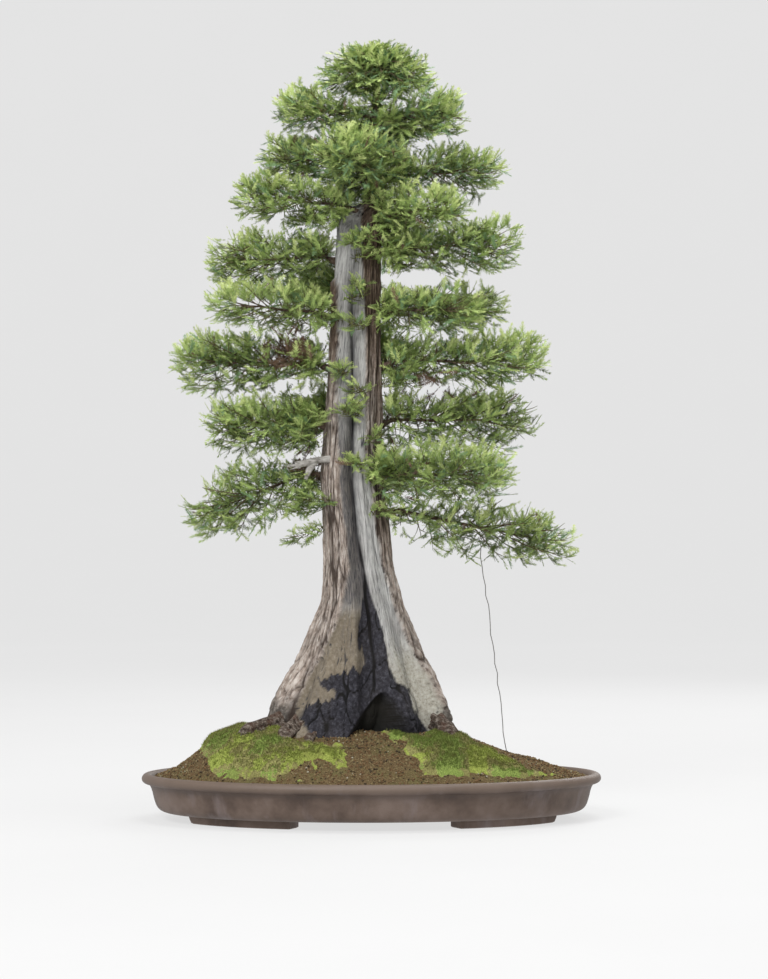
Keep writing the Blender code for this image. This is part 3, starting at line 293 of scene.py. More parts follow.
# Name, angle about the trunk, height, begin and end outward, half breadth, half height, rise.
FOLIAGE = (
    ("crown_left", 196.0, 0.950, 0.020, 0.140, 0.074, 0.044, 0.004),
    ("crown_right", 338.0, 0.946, 0.020, 0.126, 0.074, 0.044, 0.004),
    ("crown_back", 78.0, 0.944, 0.020, 0.126, 0.076, 0.042, 0.004),
    ("shoulder_left", 168.0, 0.894, 0.036, 0.160, 0.074, 0.044, 0.006),
    ("shoulder_right", 12.0, 0.876, 0.036, 0.182, 0.076, 0.046, 0.010),
    ("shoulder_back", 100.0, 0.872, 0.036, 0.160, 0.074, 0.044, 0.002),
    ("shoulder_front", 252.0, 0.882, 0.036, 0.146, 0.070, 0.044, 0.000),
    ("upper_left", 192.0, 0.832, 0.054, 0.196, 0.072, 0.040, 0.006),
    ("upper_back", 62.0, 0.804, 0.054, 0.176, 0.078, 0.044, 0.000),
    ("upper_front", 318.0, 0.812, 0.050, 0.168, 0.054, 0.040, -0.004),
    ("upper_right", 348.0, 0.770, 0.052, 0.224, 0.078, 0.050, 0.004),
    ("middle_left", 171.0, 0.756, 0.054, 0.206, 0.080, 0.048, -0.008),
    ("middle_back", 114.0, 0.722, 0.054, 0.192, 0.078, 0.046, -0.006),
    ("middle_right", 24.0, 0.694, 0.054, 0.226, 0.074, 0.040, 0.008),
    ("middle_front_left", 200.0, 0.684, 0.060, 0.210, 0.062, 0.040, 0.004),
    ("middle_front_right", 326.0, 0.680, 0.058, 0.196, 0.054, 0.040, -0.006),
    ("broad_left", 178.0, 0.614, 0.060, 0.246, 0.082, 0.054, 0.000),
    ("broad_right", 354.0, 0.618, 0.058, 0.262, 0.080, 0.050, 0.004),
    ("broad_back", 72.0, 0.632, 0.058, 0.192, 0.080, 0.048, -0.006),
    ("lower_left", 188.0, 0.532, 0.060, 0.202, 0.076, 0.050, -0.004),
    ("lower_right", 14.0, 0.538, 0.060, 0.266, 0.082, 0.054, 0.000),
    ("lower_back", 112.0, 0.548, 0.058, 0.194, 0.080, 0.048, -0.008),
    ("skirt_left", 170.0, 0.434, 0.064, 0.230, 0.074, 0.050, -0.064),
    ("skirt_front_right", 329.0, 0.462, 0.060, 0.240, 0.074, 0.048, -0.004),
    ("skirt_back", 76.0, 0.462, 0.058, 0.194, 0.080, 0.048, -0.014),
    ("skirt_right", 5.0, 0.389, 0.064, 0.302, 0.066, 0.046, -0.050))
FIRST_WITH_BOUGH = 3
APEX = ("apex", (0.0065, 0.0, 0.9930), 0.055, 0.082, 0.076)
APEX_CONE = (120.0, 16.0)
APEX_SPRAYS = 17
APEX_STEM = 0.022
APEX_LOWEST = 0.40
SPACE_POWER = 2.6
SPACE_GAP = 0.0008
SPACE_STEP = 0.002
SPACE_MARGIN = 0.004
LEVEL_SQUEEZE = 2.2
STEM_SHARE = 0.70
STEM_POINTS = 4
STEM_SWAY = 0.006
SPRAYS_PER_MASS = 13
SPRAY_TURN = math.radians(137.5)
SPRAY_TURN_PLAY = 0.3
SPRAY_LOWEST = 0.06
SPRAY_REACH = 0.97
SPRAY_CONE = (84.0, 12.0)
SPRAY_CONE_POWER = 1.6
SPRAY_FLATNESS = 0.80
SPRAY_INWARD = 1.35
SPRAY_ROLL = (24.0, 78.0)
SPRAY_FURTHEST = 0.32
SPRAY_SHORTEST = 0.004
SPRAY_LIFT = (-0.05, 0.20)
SPRAY_TONE = 0.08
# The same rule, carried finer, in a space that is swelled along, across and upward.
FINER = 3
INWARD_REACH = 0.022
STEM_INWARD = 0.8
SPACE_SWELL = (1.02, 1.05, 1.16)
TWIG_STEPS = 5
TWIG_RADIUS = (0.0005, 0.007)
TWIG_SIDES = 3
SIDE_TWIG_RADII = (0.0007, 0.0005, 0.0003)
SIDE_TWIG_ROOM = 1.02
# Darker and lighter colour of the bark on twigs and on side twigs.
TWIG_SKINS = (("brown_twigs", (0.070, 0.048, 0.032), (0.190, 0.140, 0.095)),
              ("green_twigs", (0.085, 0.085, 0.034), (0.185, 0.200, 0.075)))
FAN_EVERY = 0.0074
FAN_CONE = (74.0, 14.0)
CLUMP_SCALE = 30.0
CLUMP_FLOOR = -0.24
FAN_LENGTH = 0.040
FAN_SHORTEST = 0.012
FAN_PAIR_EVERY = 0.0074
FAN_LIFT = 0.12
FAN_TILT = 40.0
FAN_LOWEST = 0.10
FAN_PAST = 0.006
FAN_SIZE = (0.75, 1.05)
FAN_TONE = 0.08
# What a fan's twig leaves of the length for its last sprig, its least length, bend and sag.
FAN_END, FAN_LEAST = 0.8, 0.003
FAN_BEND, FAN_SAG = (-0.05, 0.18), 0.04
# The sprig at a fan's end and the pairs down its sides: size and how much lighter.
END_SIZE, END_LIGHTER = (0.9, 1.15), 0.10
PAIR_SIZE, PAIR_LIGHTER, PAIR_DARKER = (0.68, 1.08), 0.10, 0.06
PAIR_BACK, PAIR_RISE = 0.25, (-0.15, 0.45)
SPRIG_LENGTH = 0.0215
SPRIG_LIFT = 0.30
SPRIG_STRAY = 0.26
SPRIG_PAIRS = 9
SPRIG_KINDS = 7
SPRIG_BEND, SPRIG_SWAY = (-0.10, 0.26), (-0.10, 0.10)
# Needles are darker below the first share of a sprig's length and lighter above the second.
SPRIG_DARK, SPRIG_LIGHT = 0.30, 0.62
NEEDLE_LENGTH = 0.30
NEEDLE_WIDTH = 0.072
NEEDLE_ROLL = 42.0
# Where a pair's first needle stands and how much further out its second.
NEEDLE_FIRST, NEEDLE_NEXT = 0.35, 0.3
# Length along the sprig: the least share, what the arch adds, where it begins and its stretch.
NEEDLE_ARCH = (0.40, 0.66, 0.14, 0.76)
NEEDLE_PLAY, NEEDLE_LAST = (0.80, 1.16), 0.9
NEEDLE_RISE, NEEDLE_DROOP = (-0.05, 0.38), (-0.04, 0.03)
NEEDLE_FOOT = 0.12
# Room round the trunk that sprigs leave, as shares of its radius: at their tips and at their feet.
TRUNK_ROOM = (1.12, 1.02)
SPRIG_CORE = 0.070
# Degrees off the shoot at its foot, how much less at its tip, and the play either way.
NEEDLE_ANGLE = (60.0, 28.0, 11.0)
# The same for the sprigs down a fan's sides.
PAIR_ANGLE = (52.0, 14.0, 8.0)
# Six greens from dark to light, then a bluish green and the rust of dead needles.
GREENS = (("needles_deep", (0.084, 0.122, 0.036)), ("needles_olive", (0.160, 0.210, 0.060)),
          ("needles_green", (0.218, 0.300, 0.088)), ("needles_fresh", (0.282, 0.385, 0.112)),
          ("needles_light", (0.366, 0.470, 0.150)), ("needles_tip", (0.480, 0.560, 0.210)),
          ("needles_cool", (0.175, 0.285, 0.132)), ("needles_rust", (0.150, 0.092, 0.060)))
LIGHTEST, COOL, RUST = 5, 6, 7
TONE_STEPS = (-0.16, -0.03, 0.10, 0.24, 0.40)
# Lighter outward from a share of the space's depth, partly for fresher outer growth and partly as
# painted shade inside; lighter upward, as painted light from above; by chance; and by clump, darker as
# painted shade where clumps thin out toward their gaps.
TONE_MIDDLE = 0.60
TONE_OUTWARD_GROWTH_AND_SHADE, TONE_PAINTED_TOP_LIGHT, TONE_CHANCE, TONE_CLUMP_PAINTED_SHADE = 0.34, 0.15, 0.15, 0.22
RUST_SHARE = 0.008
# How far past its length a sprig is kept clear, the space it may end in, and play at walls.
SPRIG_PAST, SPRIG_ROOM, SPRIG_PLAY = 1.2, 1.04, 0.006
BARE_SHARE = 0.85
# Share of the middle green that is bluish, what the crown has more, and where that begins.
COOL_SHARE, COOL_MORE, COOL_CROWN_Z = 0.35, 0.5, 0.85
# Small sprays on the bark: height, angle about the trunk, turn aside, length, rise.
BARK_SHOOTS = ((0.842, 262.0, 30.0, 0.060, 0.16), (0.836, 292.0, -40.0, 0.056, 0.16),
               (0.778, 236.0, 62.0, 0.062, 0.10), (0.770, 296.0, -62.0, 0.058, 0.10),
               (0.756, 252.0, 50.0, 0.052, 0.05), (0.712, 300.0, -56.0, 0.046, 0.16),
               (0.700, 238.0, 58.0, 0.058, 0.10), (0.668, 262.0, -60.0, 0.046, 0.10),
               (0.662, 296.0, -56.0, 0.050, 0.10), (0.598, 234.0, 30.0, 0.040, 0.16),
               (0.572, 300.0, -58.0, 0.050, 0.10), (0.550, 240.0, 56.0, 0.054, 0.10),
               (0.544, 288.0, -56.0, 0.048, 0.10), (0.508, 304.0, 10.0, 0.046, 0.16),
               (0.474, 298.0, -50.0, 0.052, 0.10), (0.458, 316.0, 10.0, 0.046, 0.16),
               (0.428, 222.0, -40.0, 0.062, 0.00), (0.412, 314.0, 20.0, 0.040, 0.16),
               (0.420, 188.0, 0.0, 0.064, -0.10), (0.392, 186.0, 0.0, 0.068, -0.34),
               (0.984, 236.0, 0.0, 0.056, 0.10), (0.976, 300.0, 0.0, 0.050, 0.10),
               (0.966, 268.0, 0.0, 0.052, 0.00), (0.958, 210.0, 0.0, 0.050, 0.00),
               (0.748, 338.0, 6.0, 0.066, -0.04), (0.666, 196.0, -8.0, 0.080, 0.02),
               (0.506, 200.0, -10.0, 0.082, 0.00), (0.584, 338.0, 6.0, 0.074, 0.06),
               (0.930, 345.0, 0.0, 0.080, 0.00), (0.806, 192.0, 0.0, 0.085, 0.00))
SHOOT_SPRAYS = 4
SHOOT_HALF = (0.026, 0.016)
SHOOT_SUNK = 0.004
# Seen from the front: middle and half size of the openings to the sky, and of the bare twigs.
SKY_GAPS = ((-0.019, 0.854, 0.011, 0.005), (0.026, 0.848, 0.004, 0.007), (0.021, 0.796, 0.011, 0.005),
            (0.068, 0.730, 0.028, 0.008), (0.122, 0.718, 0.030, 0.007), (0.180, 0.726, 0.030, 0.006),
            (-0.172, 0.700, 0.040, 0.010), (-0.090, 0.683, 0.014, 0.008), (-0.100, 0.582, 0.036, 0.008),
            (0.038, 0.618, 0.018, 0.006), (0.038, 0.513, 0.018, 0.008), (-0.070, 0.508, 0.018, 0.006),
            (0.041, 0.434, 0.018, 0.008), (0.047, 0.388, 0.020, 0.008), (-0.128, 0.452, 0.020, 0.004),
            (-0.243, 0.440, 0.018, 0.016), (-0.203, 0.791, 0.014, 0.010), (0.184, 0.804, 0.014, 0.010))
BARE_TWIGS = ((-0.112, 0.632, 0.030, 0.022), (0.084, 0.588, 0.020, 0.012), (-0.085, 0.475, 0.030, 0.012))
# Where an opening ends, as a share of its half size, and over how much of it it fades.
OPENING_EDGE, OPENING_SOFT = 1.35, 0.5
TIERS = ("crown", "shoulder", "upper", "middle", "broad", "lower", "skirt")


# Small tools

def turns_of(count):
    """Angles of a full circle in even steps."""
    return np.arange(count) * 2.0 * math.pi / count


def blend_rows(rows, at, column=1):
    """Straight-line reading of a table whose first column rises, for a number or an array."""
    return np.interp(at, [row[0] for row in rows], [row[column] for row in rows])


def soft(value):
    """0 below 0 and 1 above 1, eased between."""
    value = np.clip(value, 0.0, 1.0)
    return value * value * (3.0 - 2.0 * value)


def above(value, start, run):
    """0 up to a start and 1 from a run beyond it, eased between."""
    return soft((value - start) / run)


def below(value, end, run):
    """1 until a run before an end and 0 from the end on, eased between."""
    return soft((end - value) / run)


def lattice(x, y, z, seed):
    """Repeatable number between -1 and 1 for each corner of a lattice."""
    mixed = (x * 73856093) ^ (y * 19349663) ^ (z * 83492791) ^ (seed * 26544357 + 977)
    mixed = (mixed ^ (mixed >> 13)) * 1274126177
    mixed = mixed ^ (mixed >> 16)
    return (mixed & 0xFFFFFF) / float(0x7FFFFF) - 1.0


def noise(points, seed, octaves=1):
    """Smooth noise between -1 and 1 at an array of points, finer by half for each octave."""
    total, weight, sum_of_weights = 0.0, 1.0, 0.0
    for octave in range(octaves):
        scaled = points * 2.0 ** octave
        cell = np.floor(scaled).astype(np.int64)
        part = scaled - cell
        part = part * part * (3.0 - 2.0 * part)
        value = 0.0
        for dx in (0, 1):
            for dy in (0, 1):
                for dz in (0, 1):
                    share = (np.abs(1 - dx - part[..., 0]) * np.abs(1 - dy - part[..., 1])
                             * np.abs(1 - dz - part[..., 2]))
                    value = value + share * lattice(cell[..., 0] + dx, cell[..., 1] + dy,
                                                    cell[..., 2] + dz, seed + 31 * octave)
        total = total + weight * value
        sum_of_weights += weight
        weight *= 0.5
    return total / sum_of_weights


def stacked(*columns):
    """Arrays or numbers side by side as the last axis of one array."""
    return np.stack(np.broadcast_arrays(*columns), axis=-1).astype(float)


def mesh_piece(name, points, faces, skins, body="root", smooth=True, face_skins=None,
               attributes=None, flat_map=None):
    """Object made from an array of points and an array of faces with one count of corners.

    The flat map for baking has a place for each point, or one for each corner of each face.
    """
    points = np.asarray(points, float).reshape(-1, 3)
    faces = np.asarray(faces, np.int32)
    mesh = bpy.data.meshes.new(name)
    mesh.vertices.add(len(points))
    mesh.vertices.foreach_set("co", points.astype(np.float32).ravel())
    mesh.loops.add(faces.size)
    mesh.loops.foreach_set("vertex_index", faces.ravel())
    mesh.polygons.add(len(faces))
    mesh.polygons.foreach_set("loop_start", np.arange(0, faces.size, faces.shape[1], dtype=np.int32))
    for skin in skins:
        mesh.materials.append(skin)
    if face_skins is not None:
        mesh.polygons.foreach_set("material_index", np.asarray(face_skins, np.int32))
    mesh.update(calc_edges=True)
    mesh.polygons.foreach_set("use_smooth", np.full(len(faces), smooth))
    for label, values in (attributes or {}).items():
        values = np.asarray(values, np.float32)
        kind = "FLOAT_VECTOR" if values.ndim == 2 else "FLOAT"
        layer = mesh.attributes.new(label, kind, "POINT")
        layer.data.foreach_set("vector" if values.ndim == 2 else "value", values.ravel())
    if flat_map is not None:
        flat_map = np.asarray(flat_map, np.float32)
        if len(flat_map) == len(points):
            flat_map = flat_map[faces.ravel()]
        mesh.uv_layers.new(name=BAKE_MAP).uv.foreach_set("vector", flat_map.ravel())
    piece = bpy.data.objects.new(name, mesh)
    bpy.context.scene.collection.objects.link(piece)
    if body:
        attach(piece, body)
    return piece


def grid_faces(rows, columns, closed=False):
    """Quads over a grid of points stored row by row; closed joins the last column to the first."""
    last = columns if closed else columns - 1
    i, j = np.meshgrid(np.arange(rows - 1), np.arange(last), indexing="ij")
    right = (j + 1) % columns
    return np.stack([i * columns + j, i * columns + right, (i + 1) * columns + right,
                     (i + 1) * columns + j], axis=-1).reshape(-1, 4)


def strip_map(rows, columns):
    """Bake map for the faces of a closed grid, unrolled, without a face across the seam."""
    i, j = np.meshgrid(np.arange(rows - 1), np.arange(columns), indexing="ij")
    u = np.stack([j, j + 1, j + 1, j], axis=-1) / columns
    v = np.stack([i, i, i + 1, i + 1], axis=-1) / (rows - 1)
    return (np.stack([u, v], axis=-1) * 0.98 + 0.01).reshape(-1, 2)


def joined(parts):
    """Points and faces of several pieces as one pair of arrays."""
    points, faces, start = [], [], 0
    for some_points, some_faces in parts:
        points.append(np.asarray(some_points, float).reshape(-1, 3))
        faces.append(np.asarray(some_faces) + start)
        start += len(points[-1])
    return np.concatenate(points), np.concatenate(faces)


# Materials

class Skin:
    """Short forms for building one material's nodes."""

    def __init__(self, name, roughness, specular=0.3, metallic=0.0):
        self.material = bpy.data.materials.new(name)
        self.material.use_nodes = True
        self.tree = self.material.node_tree
        self.shader = self.tree.nodes["Principled BSDF"]
        self.shader.inputs["Roughness"].default_value = roughness
        self.shader.inputs["Specular IOR Level"].default_value = specular
        self.shader.inputs["Metallic"].default_value = metallic

    def node(self, kind, **settings):
        made = self.tree.nodes.new(kind)
        for name, value in settings.items():
            setattr(made, name, value)
        return made

    def join(self, source, socket):
        if isinstance(source, (int, float)):
            socket.default_value = source
        elif isinstance(source, tuple):
            socket.default_value = (*source, 1.0) if len(source) == 3 else source
        else:
            self.tree.links.new(source, socket)

    def attribute(self, name, vector=False):
        made = self.node("ShaderNodeAttribute", attribute_name=name)
        return made.outputs["Vector" if vector else "Fac"]

    def place(self, scale=(1.0, 1.0, 1.0), source=None):
        """Object coordinates, or another source, stretched along each axis."""
        source = source or self.node("ShaderNodeTexCoord").outputs["Object"]
        made = self.node("ShaderNodeMapping")
        made.inputs["Scale"].default_value = scale
        self.join(source, made.inputs["Vector"])
        return made.outputs["Vector"]

    def noise(self, place, scale, detail=3.0, roughness=0.55, distortion=0.0):
        made = self.node("ShaderNodeTexNoise")
        self.join(place, made.inputs["Vector"])
        made.inputs["Scale"].default_value = scale
        made.inputs["Detail"].default_value = detail
        made.inputs["Roughness"].default_value = roughness
        made.inputs["Distortion"].default_value = distortion
        return made.outputs["Fac"]

    def ramp(self, factor, *stops):
        made = self.node("ShaderNodeValToRGB")
        ramp = made.color_ramp
        while len(ramp.elements) < len(stops):
            ramp.elements.new(0.5)
        for element, (at, colour) in zip(ramp.elements, stops):
            element.position = at
            element.color = (*colour, 1.0) if isinstance(colour, tuple) else (*[colour] * 3, 1.0)
        self.join(factor, made.inputs["Fac"])
        return made.outputs["Color"]

    def mix(self, factor, first, second):
        made = self.node("ShaderNodeMix", data_type="RGBA", clamp_factor=True)
        self.join(factor, made.inputs[0])
        self.join(first, made.inputs[6])
        self.join(second, made.inputs[7])
        return made.outputs[2]

    def cover(self, base, factor, edge, full, share, colour):
        """A colour over the base: none of it up to one value of the factor, its share at another."""
        return self.mix(self.ramp(factor, (edge, 0.0), (full, share)), base, colour)

    def math(self, operation, first, second=0.0):
        made = self.node("ShaderNodeMath", operation=operation)
        self.join(first, made.inputs[0])
        self.join(second, made.inputs[1])
        return made.outputs[0]

    def bump(self, height, distance, strength=1.0, normal=None):
        made = self.node("ShaderNodeBump")
        made.inputs["Distance"].default_value = distance
        made.inputs["Strength"].default_value = strength
        self.join(height, made.inputs["Height"])
        if normal:
            self.join(normal, made.inputs["Normal"])
        return made.outputs["Normal"]

    def finish(self, colour, normal=None, roughness=None):
        self.join(colour, self.shader.inputs["Base Color"])
        if normal:
            self.join(normal, self.shader.inputs["Normal"])
        if roughness:
            self.join(roughness, self.shader.inputs["Roughness"])
        return self.material


def backdrop_skin():
    skin = Skin("pale_backdrop", 0.9, 0.1)
    grain = skin.noise(skin.place(), 3.0)
    skin.shader.inputs["Emission Color"].default_value = WHITE
    skin.shader.inputs["Emission Strength"].default_value = BACKDROP_GLOW
    return skin.finish(skin.ramp(grain, (0.3, BACKDROP_TONE), (0.7, BACKDROP_TONE + 0.006)))


def clay_skin(name="brown_clay", lift=1.0):
    """Unglazed clay: bloom in upright streaks, a paler rim as painted highlight, a band of painted shade
    under the rim, fine grit.
    """

    def shade(*colour):
        return tuple(lift * part for part in colour)

    skin = Skin(name, 0.45, 0.45)
    place = skin.place()
    streak = skin.noise(skin.place((26.0, 26.0, 6.0)), 1.0, 4.0, 0.6)
    cloud = skin.noise(place, 16.0, 4.0, 0.6)
    base = skin.ramp(cloud, (0.36, shade(0.056, 0.034, 0.024)), (0.50, shade(0.100, 0.067, 0.050)),
                     (0.66, shade(0.150, 0.108, 0.088)))
    base = skin.cover(base, streak, 0.52, 0.70, 0.75, shade(0.175, 0.140, 0.136))
    height = skin.node("ShaderNodeSeparateXYZ")
    skin.join(place, height.inputs[0])
    share_up = skin.math("DIVIDE", height.outputs[2], POT_HEIGHT)
    # Painted highlight: the rim's top is paler, as if lit from above.
    base = skin.cover(base, share_up, 0.78, 0.86, 0.75, shade(0.128, 0.092, 0.070))
    # Painted shade: a dark band under the rim's overhang.
    painted_shade_under_rim = skin.ramp(share_up, (0.66, 0.0), (0.76, 0.5), (0.79, 0.0))
    base = skin.mix(painted_shade_under_rim, base, (0.060, 0.040, 0.032))
    grit = skin.noise(place, 900.0, 2.0)
    base = skin.cover(base, grit, 0.62, 0.75, 0.35, (0.05, 0.035, 0.03))
    normal = skin.bump(grit, 0.0003, 0.5)
    return skin.finish(base, skin.bump(cloud, 0.0008, 0.4, normal),
                       skin.ramp(cloud, (0.3, 0.50), (0.8, 0.66)))


def grained_skin(name, surface, grain, stops, relief=None, patches=None, stretch=(1.0, 1.0, 1.0)):
    """Colours over fine noise, with a relief and with wide patches where they are given.

    The surface is its roughness, specular and metallic shares, the grain is the noise, the relief is
    its height and strength, and the patches are the scale of theirs, two edges, a share and a colour.
    """
    skin = Skin(name, *surface)
    place = skin.place(stretch)
    fine = skin.noise(place, *grain)
    base = skin.ramp(fine, *stops)
    if patches:
        base = skin.cover(base, skin.noise(place, patches[0]), *patches[1:])
    return skin.finish(base, skin.bump(fine, *relief) if relief else None)


def soil_skin():
    return grained_skin("soil_bed", (0.95, 0.1), (520.0, 3.0, 0.7),
                        ((0.30, (0.036, 0.023, 0.013)), (0.50, (0.110, 0.074, 0.037)),
                         (0.75, (0.200, 0.150, 0.077))), (0.0015, 0.9),
                        (30.0, 0.45, 0.70, 0.6, (0.120, 0.118, 0.045)))


def grain_skin(name, dark, light):
    return grained_skin(name, (0.92, 0.15), (330.0, 2.0, 0.6), ((0.3, dark), (0.7, light)),
                        (0.0004, 0.6))


def moss_skin(name, dark, middle, light):
    return grained_skin(name, (0.9, 0.15), (620.0, 3.0, 0.7),
                        ((0.30, dark), (0.52, middle), (0.74, light)), (0.0016, 1.0),
                        (46.0, 0.50, 0.72, 0.55, (0.150, 0.135, 0.045)))


def bark_skin():
    return grained_skin("bough_bark", (0.9, 0.15), (210.0, 4.0, 0.65, 0.5),
                        ((0.28, (0.030, 0.020, 0.014)), (0.50, (0.110, 0.078, 0.058)),
                         (0.78, (0.260, 0.205, 0.160))), (0.0010, 0.9))


def root_skin():
    return grained_skin("root_bark", (0.9, 0.15), (230.0, 4.0, 0.70),
                        ((0.36, (0.020, 0.014, 0.011)), (0.52, (0.086, 0.066, 0.052)),
                         (0.76, (0.340, 0.300, 0.262))), (0.0018, 1.0),
                        (60.0, 0.48, 0.68, 0.6, (0.088, 0.044, 0.030)))


def dead_wood_skin():
    return grained_skin("dead_wood", (0.85, 0.2), (1.0, 4.0, 0.6),
                        ((0.25, (0.130, 0.118, 0.105)), (0.50, (0.370, 0.350, 0.325)),
                         (0.75, (0.560, 0.545, 0.515))), (0.0008, 0.8),
                        stretch=(60.0, 260.0, 260.0))


def twig_skin(name, dark, light):
    return grained_skin(name, (0.85, 0.15), (160.0, 2.0), ((0.35, dark), (0.70, light)))


def wire_skin():
    return grained_skin("dull_wire", (0.45, 0.5, 0.8), (400.0, 2.0),
                        ((0.3, (0.130, 0.120, 0.110)), (0.7, (0.260, 0.250, 0.240))))


def needle_skin(name, colour):
    """Plain green, dealt out by spray."""
    skin = Skin(name, 0.50, 0.30)
    skin.shader.inputs["Base Color"].default_value = (*colour, 1.0)
    return skin.material


def trunk_skin():
    """Bark, weathered wood and char, dealt out by the weights that the trunk's points carry, with
    painted shade in furrows, cracks and the cave.
    """
    skin = Skin("weathered_trunk", 0.85, 0.2)
    flow = skin.attribute("flow", vector=True)
    place = skin.place()
    fibre = skin.noise(skin.place((640.0, 640.0, 60.0), flow), 1.0, 5.0, 0.70, 0.5)
    strand = skin.noise(skin.place((170.0, 170.0, 15.0), flow), 1.0, 5.0, 0.65, 0.9)
    scale = skin.noise(skin.place((430.0, 430.0, 74.0), flow), 1.0, 5.0, 0.72, 0.6)
    flake = skin.noise(place, 210.0, 5.0, 0.72)
    cloud = skin.noise(place, 22.0, 4.0, 0.6)
    groove = skin.attribute("groove")

    bark = skin.ramp(scale, (0.32, (0.090, 0.064, 0.050)), (0.46, (0.330, 0.272, 0.232)),
                     (0.60, (0.540, 0.478, 0.430)), (0.74, (0.760, 0.710, 0.660)))
    red = skin.ramp(scale, (0.32, (0.034, 0.022, 0.015)), (0.50, (0.130, 0.088, 0.062)),
                    (0.72, (0.310, 0.250, 0.190)))
    bark = skin.mix(skin.attribute("red"), bark, red)
    bark = skin.cover(bark, strand, 0.50, 0.70, 0.50, (0.165, 0.116, 0.088))
    stain = skin.ramp(flake, (0.36, (0.024, 0.021, 0.018)), (0.54, (0.110, 0.098, 0.086)),
                      (0.70, (0.330, 0.300, 0.266)))
    bark = skin.mix(skin.attribute("stain"), bark, stain)
    # Painted shade: the bark is darkened in its furrows.
    bark = skin.cover(bark, groove, 0.10, 0.70, 0.92, (0.030, 0.019, 0.014))

    wood = skin.ramp(fibre, (0.30, (0.120, 0.118, 0.116)), (0.44, (0.370, 0.366, 0.355)),
                     (0.60, (0.520, 0.514, 0.498)), (0.76, (0.700, 0.692, 0.672)))
    slate = skin.ramp(fibre, (0.34, (0.048, 0.048, 0.054)), (0.48, (0.130, 0.123, 0.122)),
                      (0.60, (0.220, 0.200, 0.184)), (0.74, (0.400, 0.370, 0.340)))
    khaki = skin.ramp(flake, (0.25, (0.110, 0.088, 0.062)), (0.50, (0.200, 0.168, 0.125)),
                      (0.80, (0.290, 0.250, 0.195)))
    beige = skin.ramp(flake, (0.30, (0.150, 0.130, 0.100)), (0.46, (0.360, 0.338, 0.280)),
                      (0.62, (0.480, 0.462, 0.400)), (0.80, (0.640, 0.625, 0.570)))
    wood = skin.cover(wood, cloud, 0.46, 0.66, 0.34, (0.270, 0.256, 0.240))
    wood = skin.mix(skin.attribute("slate"), wood, slate)
    wood = skin.mix(skin.attribute("khaki"), wood, khaki)
    wood = skin.cover(wood, strand, 0.52, 0.70, 0.60, (0.120, 0.118, 0.122))
    wood = skin.cover(wood, flake, 0.60, 0.80, 0.30, (0.620, 0.610, 0.590))
    wood = skin.mix(skin.attribute("beige"), wood, beige)
    # Painted shade: the wood is darkened in its cracks and in the front's crack.
    wood = skin.cover(wood, groove, 0.15, 0.80, 0.92, (0.034, 0.036, 0.044))

    char = skin.ramp(flake, (0.30, (0.008, 0.008, 0.010)), (0.52, (0.031, 0.030, 0.038)),
                     (0.66, (0.066, 0.066, 0.080)), (0.84, (0.175, 0.175, 0.195)))
    # Painted shade: the char is darkened in its cracks.
    char = skin.cover(char, groove, 0.05, 0.60, 0.95, (0.004, 0.004, 0.004))

    base = skin.mix(skin.attribute("wood"), bark, wood)
    base = skin.mix(skin.attribute("char"), base, char)
    # Painted shade: near black in the cave's hollow.
    base = skin.mix(skin.attribute("dark"), base, (0.010, 0.010, 0.008))
    base = skin.cover(base, cloud, 0.40, 0.85, 0.30, (0.060, 0.050, 0.042))
    normal = skin.bump(fibre, 0.0012, 0.8)
    normal = skin.bump(scale, 0.0016, 0.8, normal)
    normal = skin.bump(flake, 0.0010, 0.5, normal)
    return skin.finish(base, normal)


# Camera, backdrop and light

def make_camera():
    data = bpy.data.cameras.new("camera")
    data.lens = CAMERA_LENS
    data.clip_end = CAMERA_REACH
    camera = bpy.data.objects.new("camera", data)
    bpy.context.scene.collection.objects.link(camera)
    camera.location = CAMERA_PLACE
    camera.rotation_mode = "QUATERNION"
    camera.rotation_quaternion = Vector(CAMERA_AIM).to_track_quat("-Z", "Y")
    bpy.context.scene.camera = camera


def make_backdrop():
    """Flat round floor whose edge curves up into a wall, the same from every side."""
    profile = [(0.0, 0.0), (BACKDROP_FLAT * 0.5, 0.0), (BACKDROP_FLAT, 0.0)]
    for k in range(1, BACKDROP_BENDS + 1):
        turn = math.pi / 2 * k / BACKDROP_BENDS
        profile.append((BACKDROP_FLAT + BACKDROP_CURVE * math.sin(turn),
                        BACKDROP_CURVE * (1.0 - math.cos(turn))))
    profile.append((BACKDROP_FLAT + BACKDROP_CURVE, BACKDROP_HEIGHT))
    profile = np.array(profile)
    turns = turns_of(BACKDROP_SEGMENTS)
    points = stacked(profile[1:, :1] * np.cos(turns), profile[1:, :1] * np.sin(turns),
                     profile[1:, 1:])
    quads = grid_faces(len(profile) - 1, BACKDROP_SEGMENTS, closed=True)
    floor = mesh_piece("backdrop", points, quads, [backdrop_skin()], body=None)
    middle = mesh_piece("floor", points[0], [list(range(BACKDROP_SEGMENTS))],
                        [floor.data.materials[0]], body=None)


def area_light(name, place, aim, size, power):
    data = bpy.data.lights.new(name, "AREA")
    data.shape = "RECTANGLE"
    data.size, data.size_y = size
    data.energy = power
    lamp = bpy.data.objects.new(name, data)
    bpy.context.scene.collection.objects.link(lamp)
    lamp.location = place
    lamp.rotation_mode = "QUATERNION"
    lamp.rotation_quaternion = (Vector(aim) - Vector(place)).to_track_quat("-Z", "Y")


def make_lights():
    world = bpy.data.worlds.new("studio")
    bpy.context.scene.world = world
    world.use_nodes = True
    sky = world.node_tree.nodes["Background"]
    sky.inputs["Color"].default_value = WHITE
    sky.inputs["Strength"].default_value = SKY_GLOW
    for lamp in LAMPS:
        area_light(*lamp)
    bpy.context.scene.view_settings.view_transform = "Standard"


# Pot

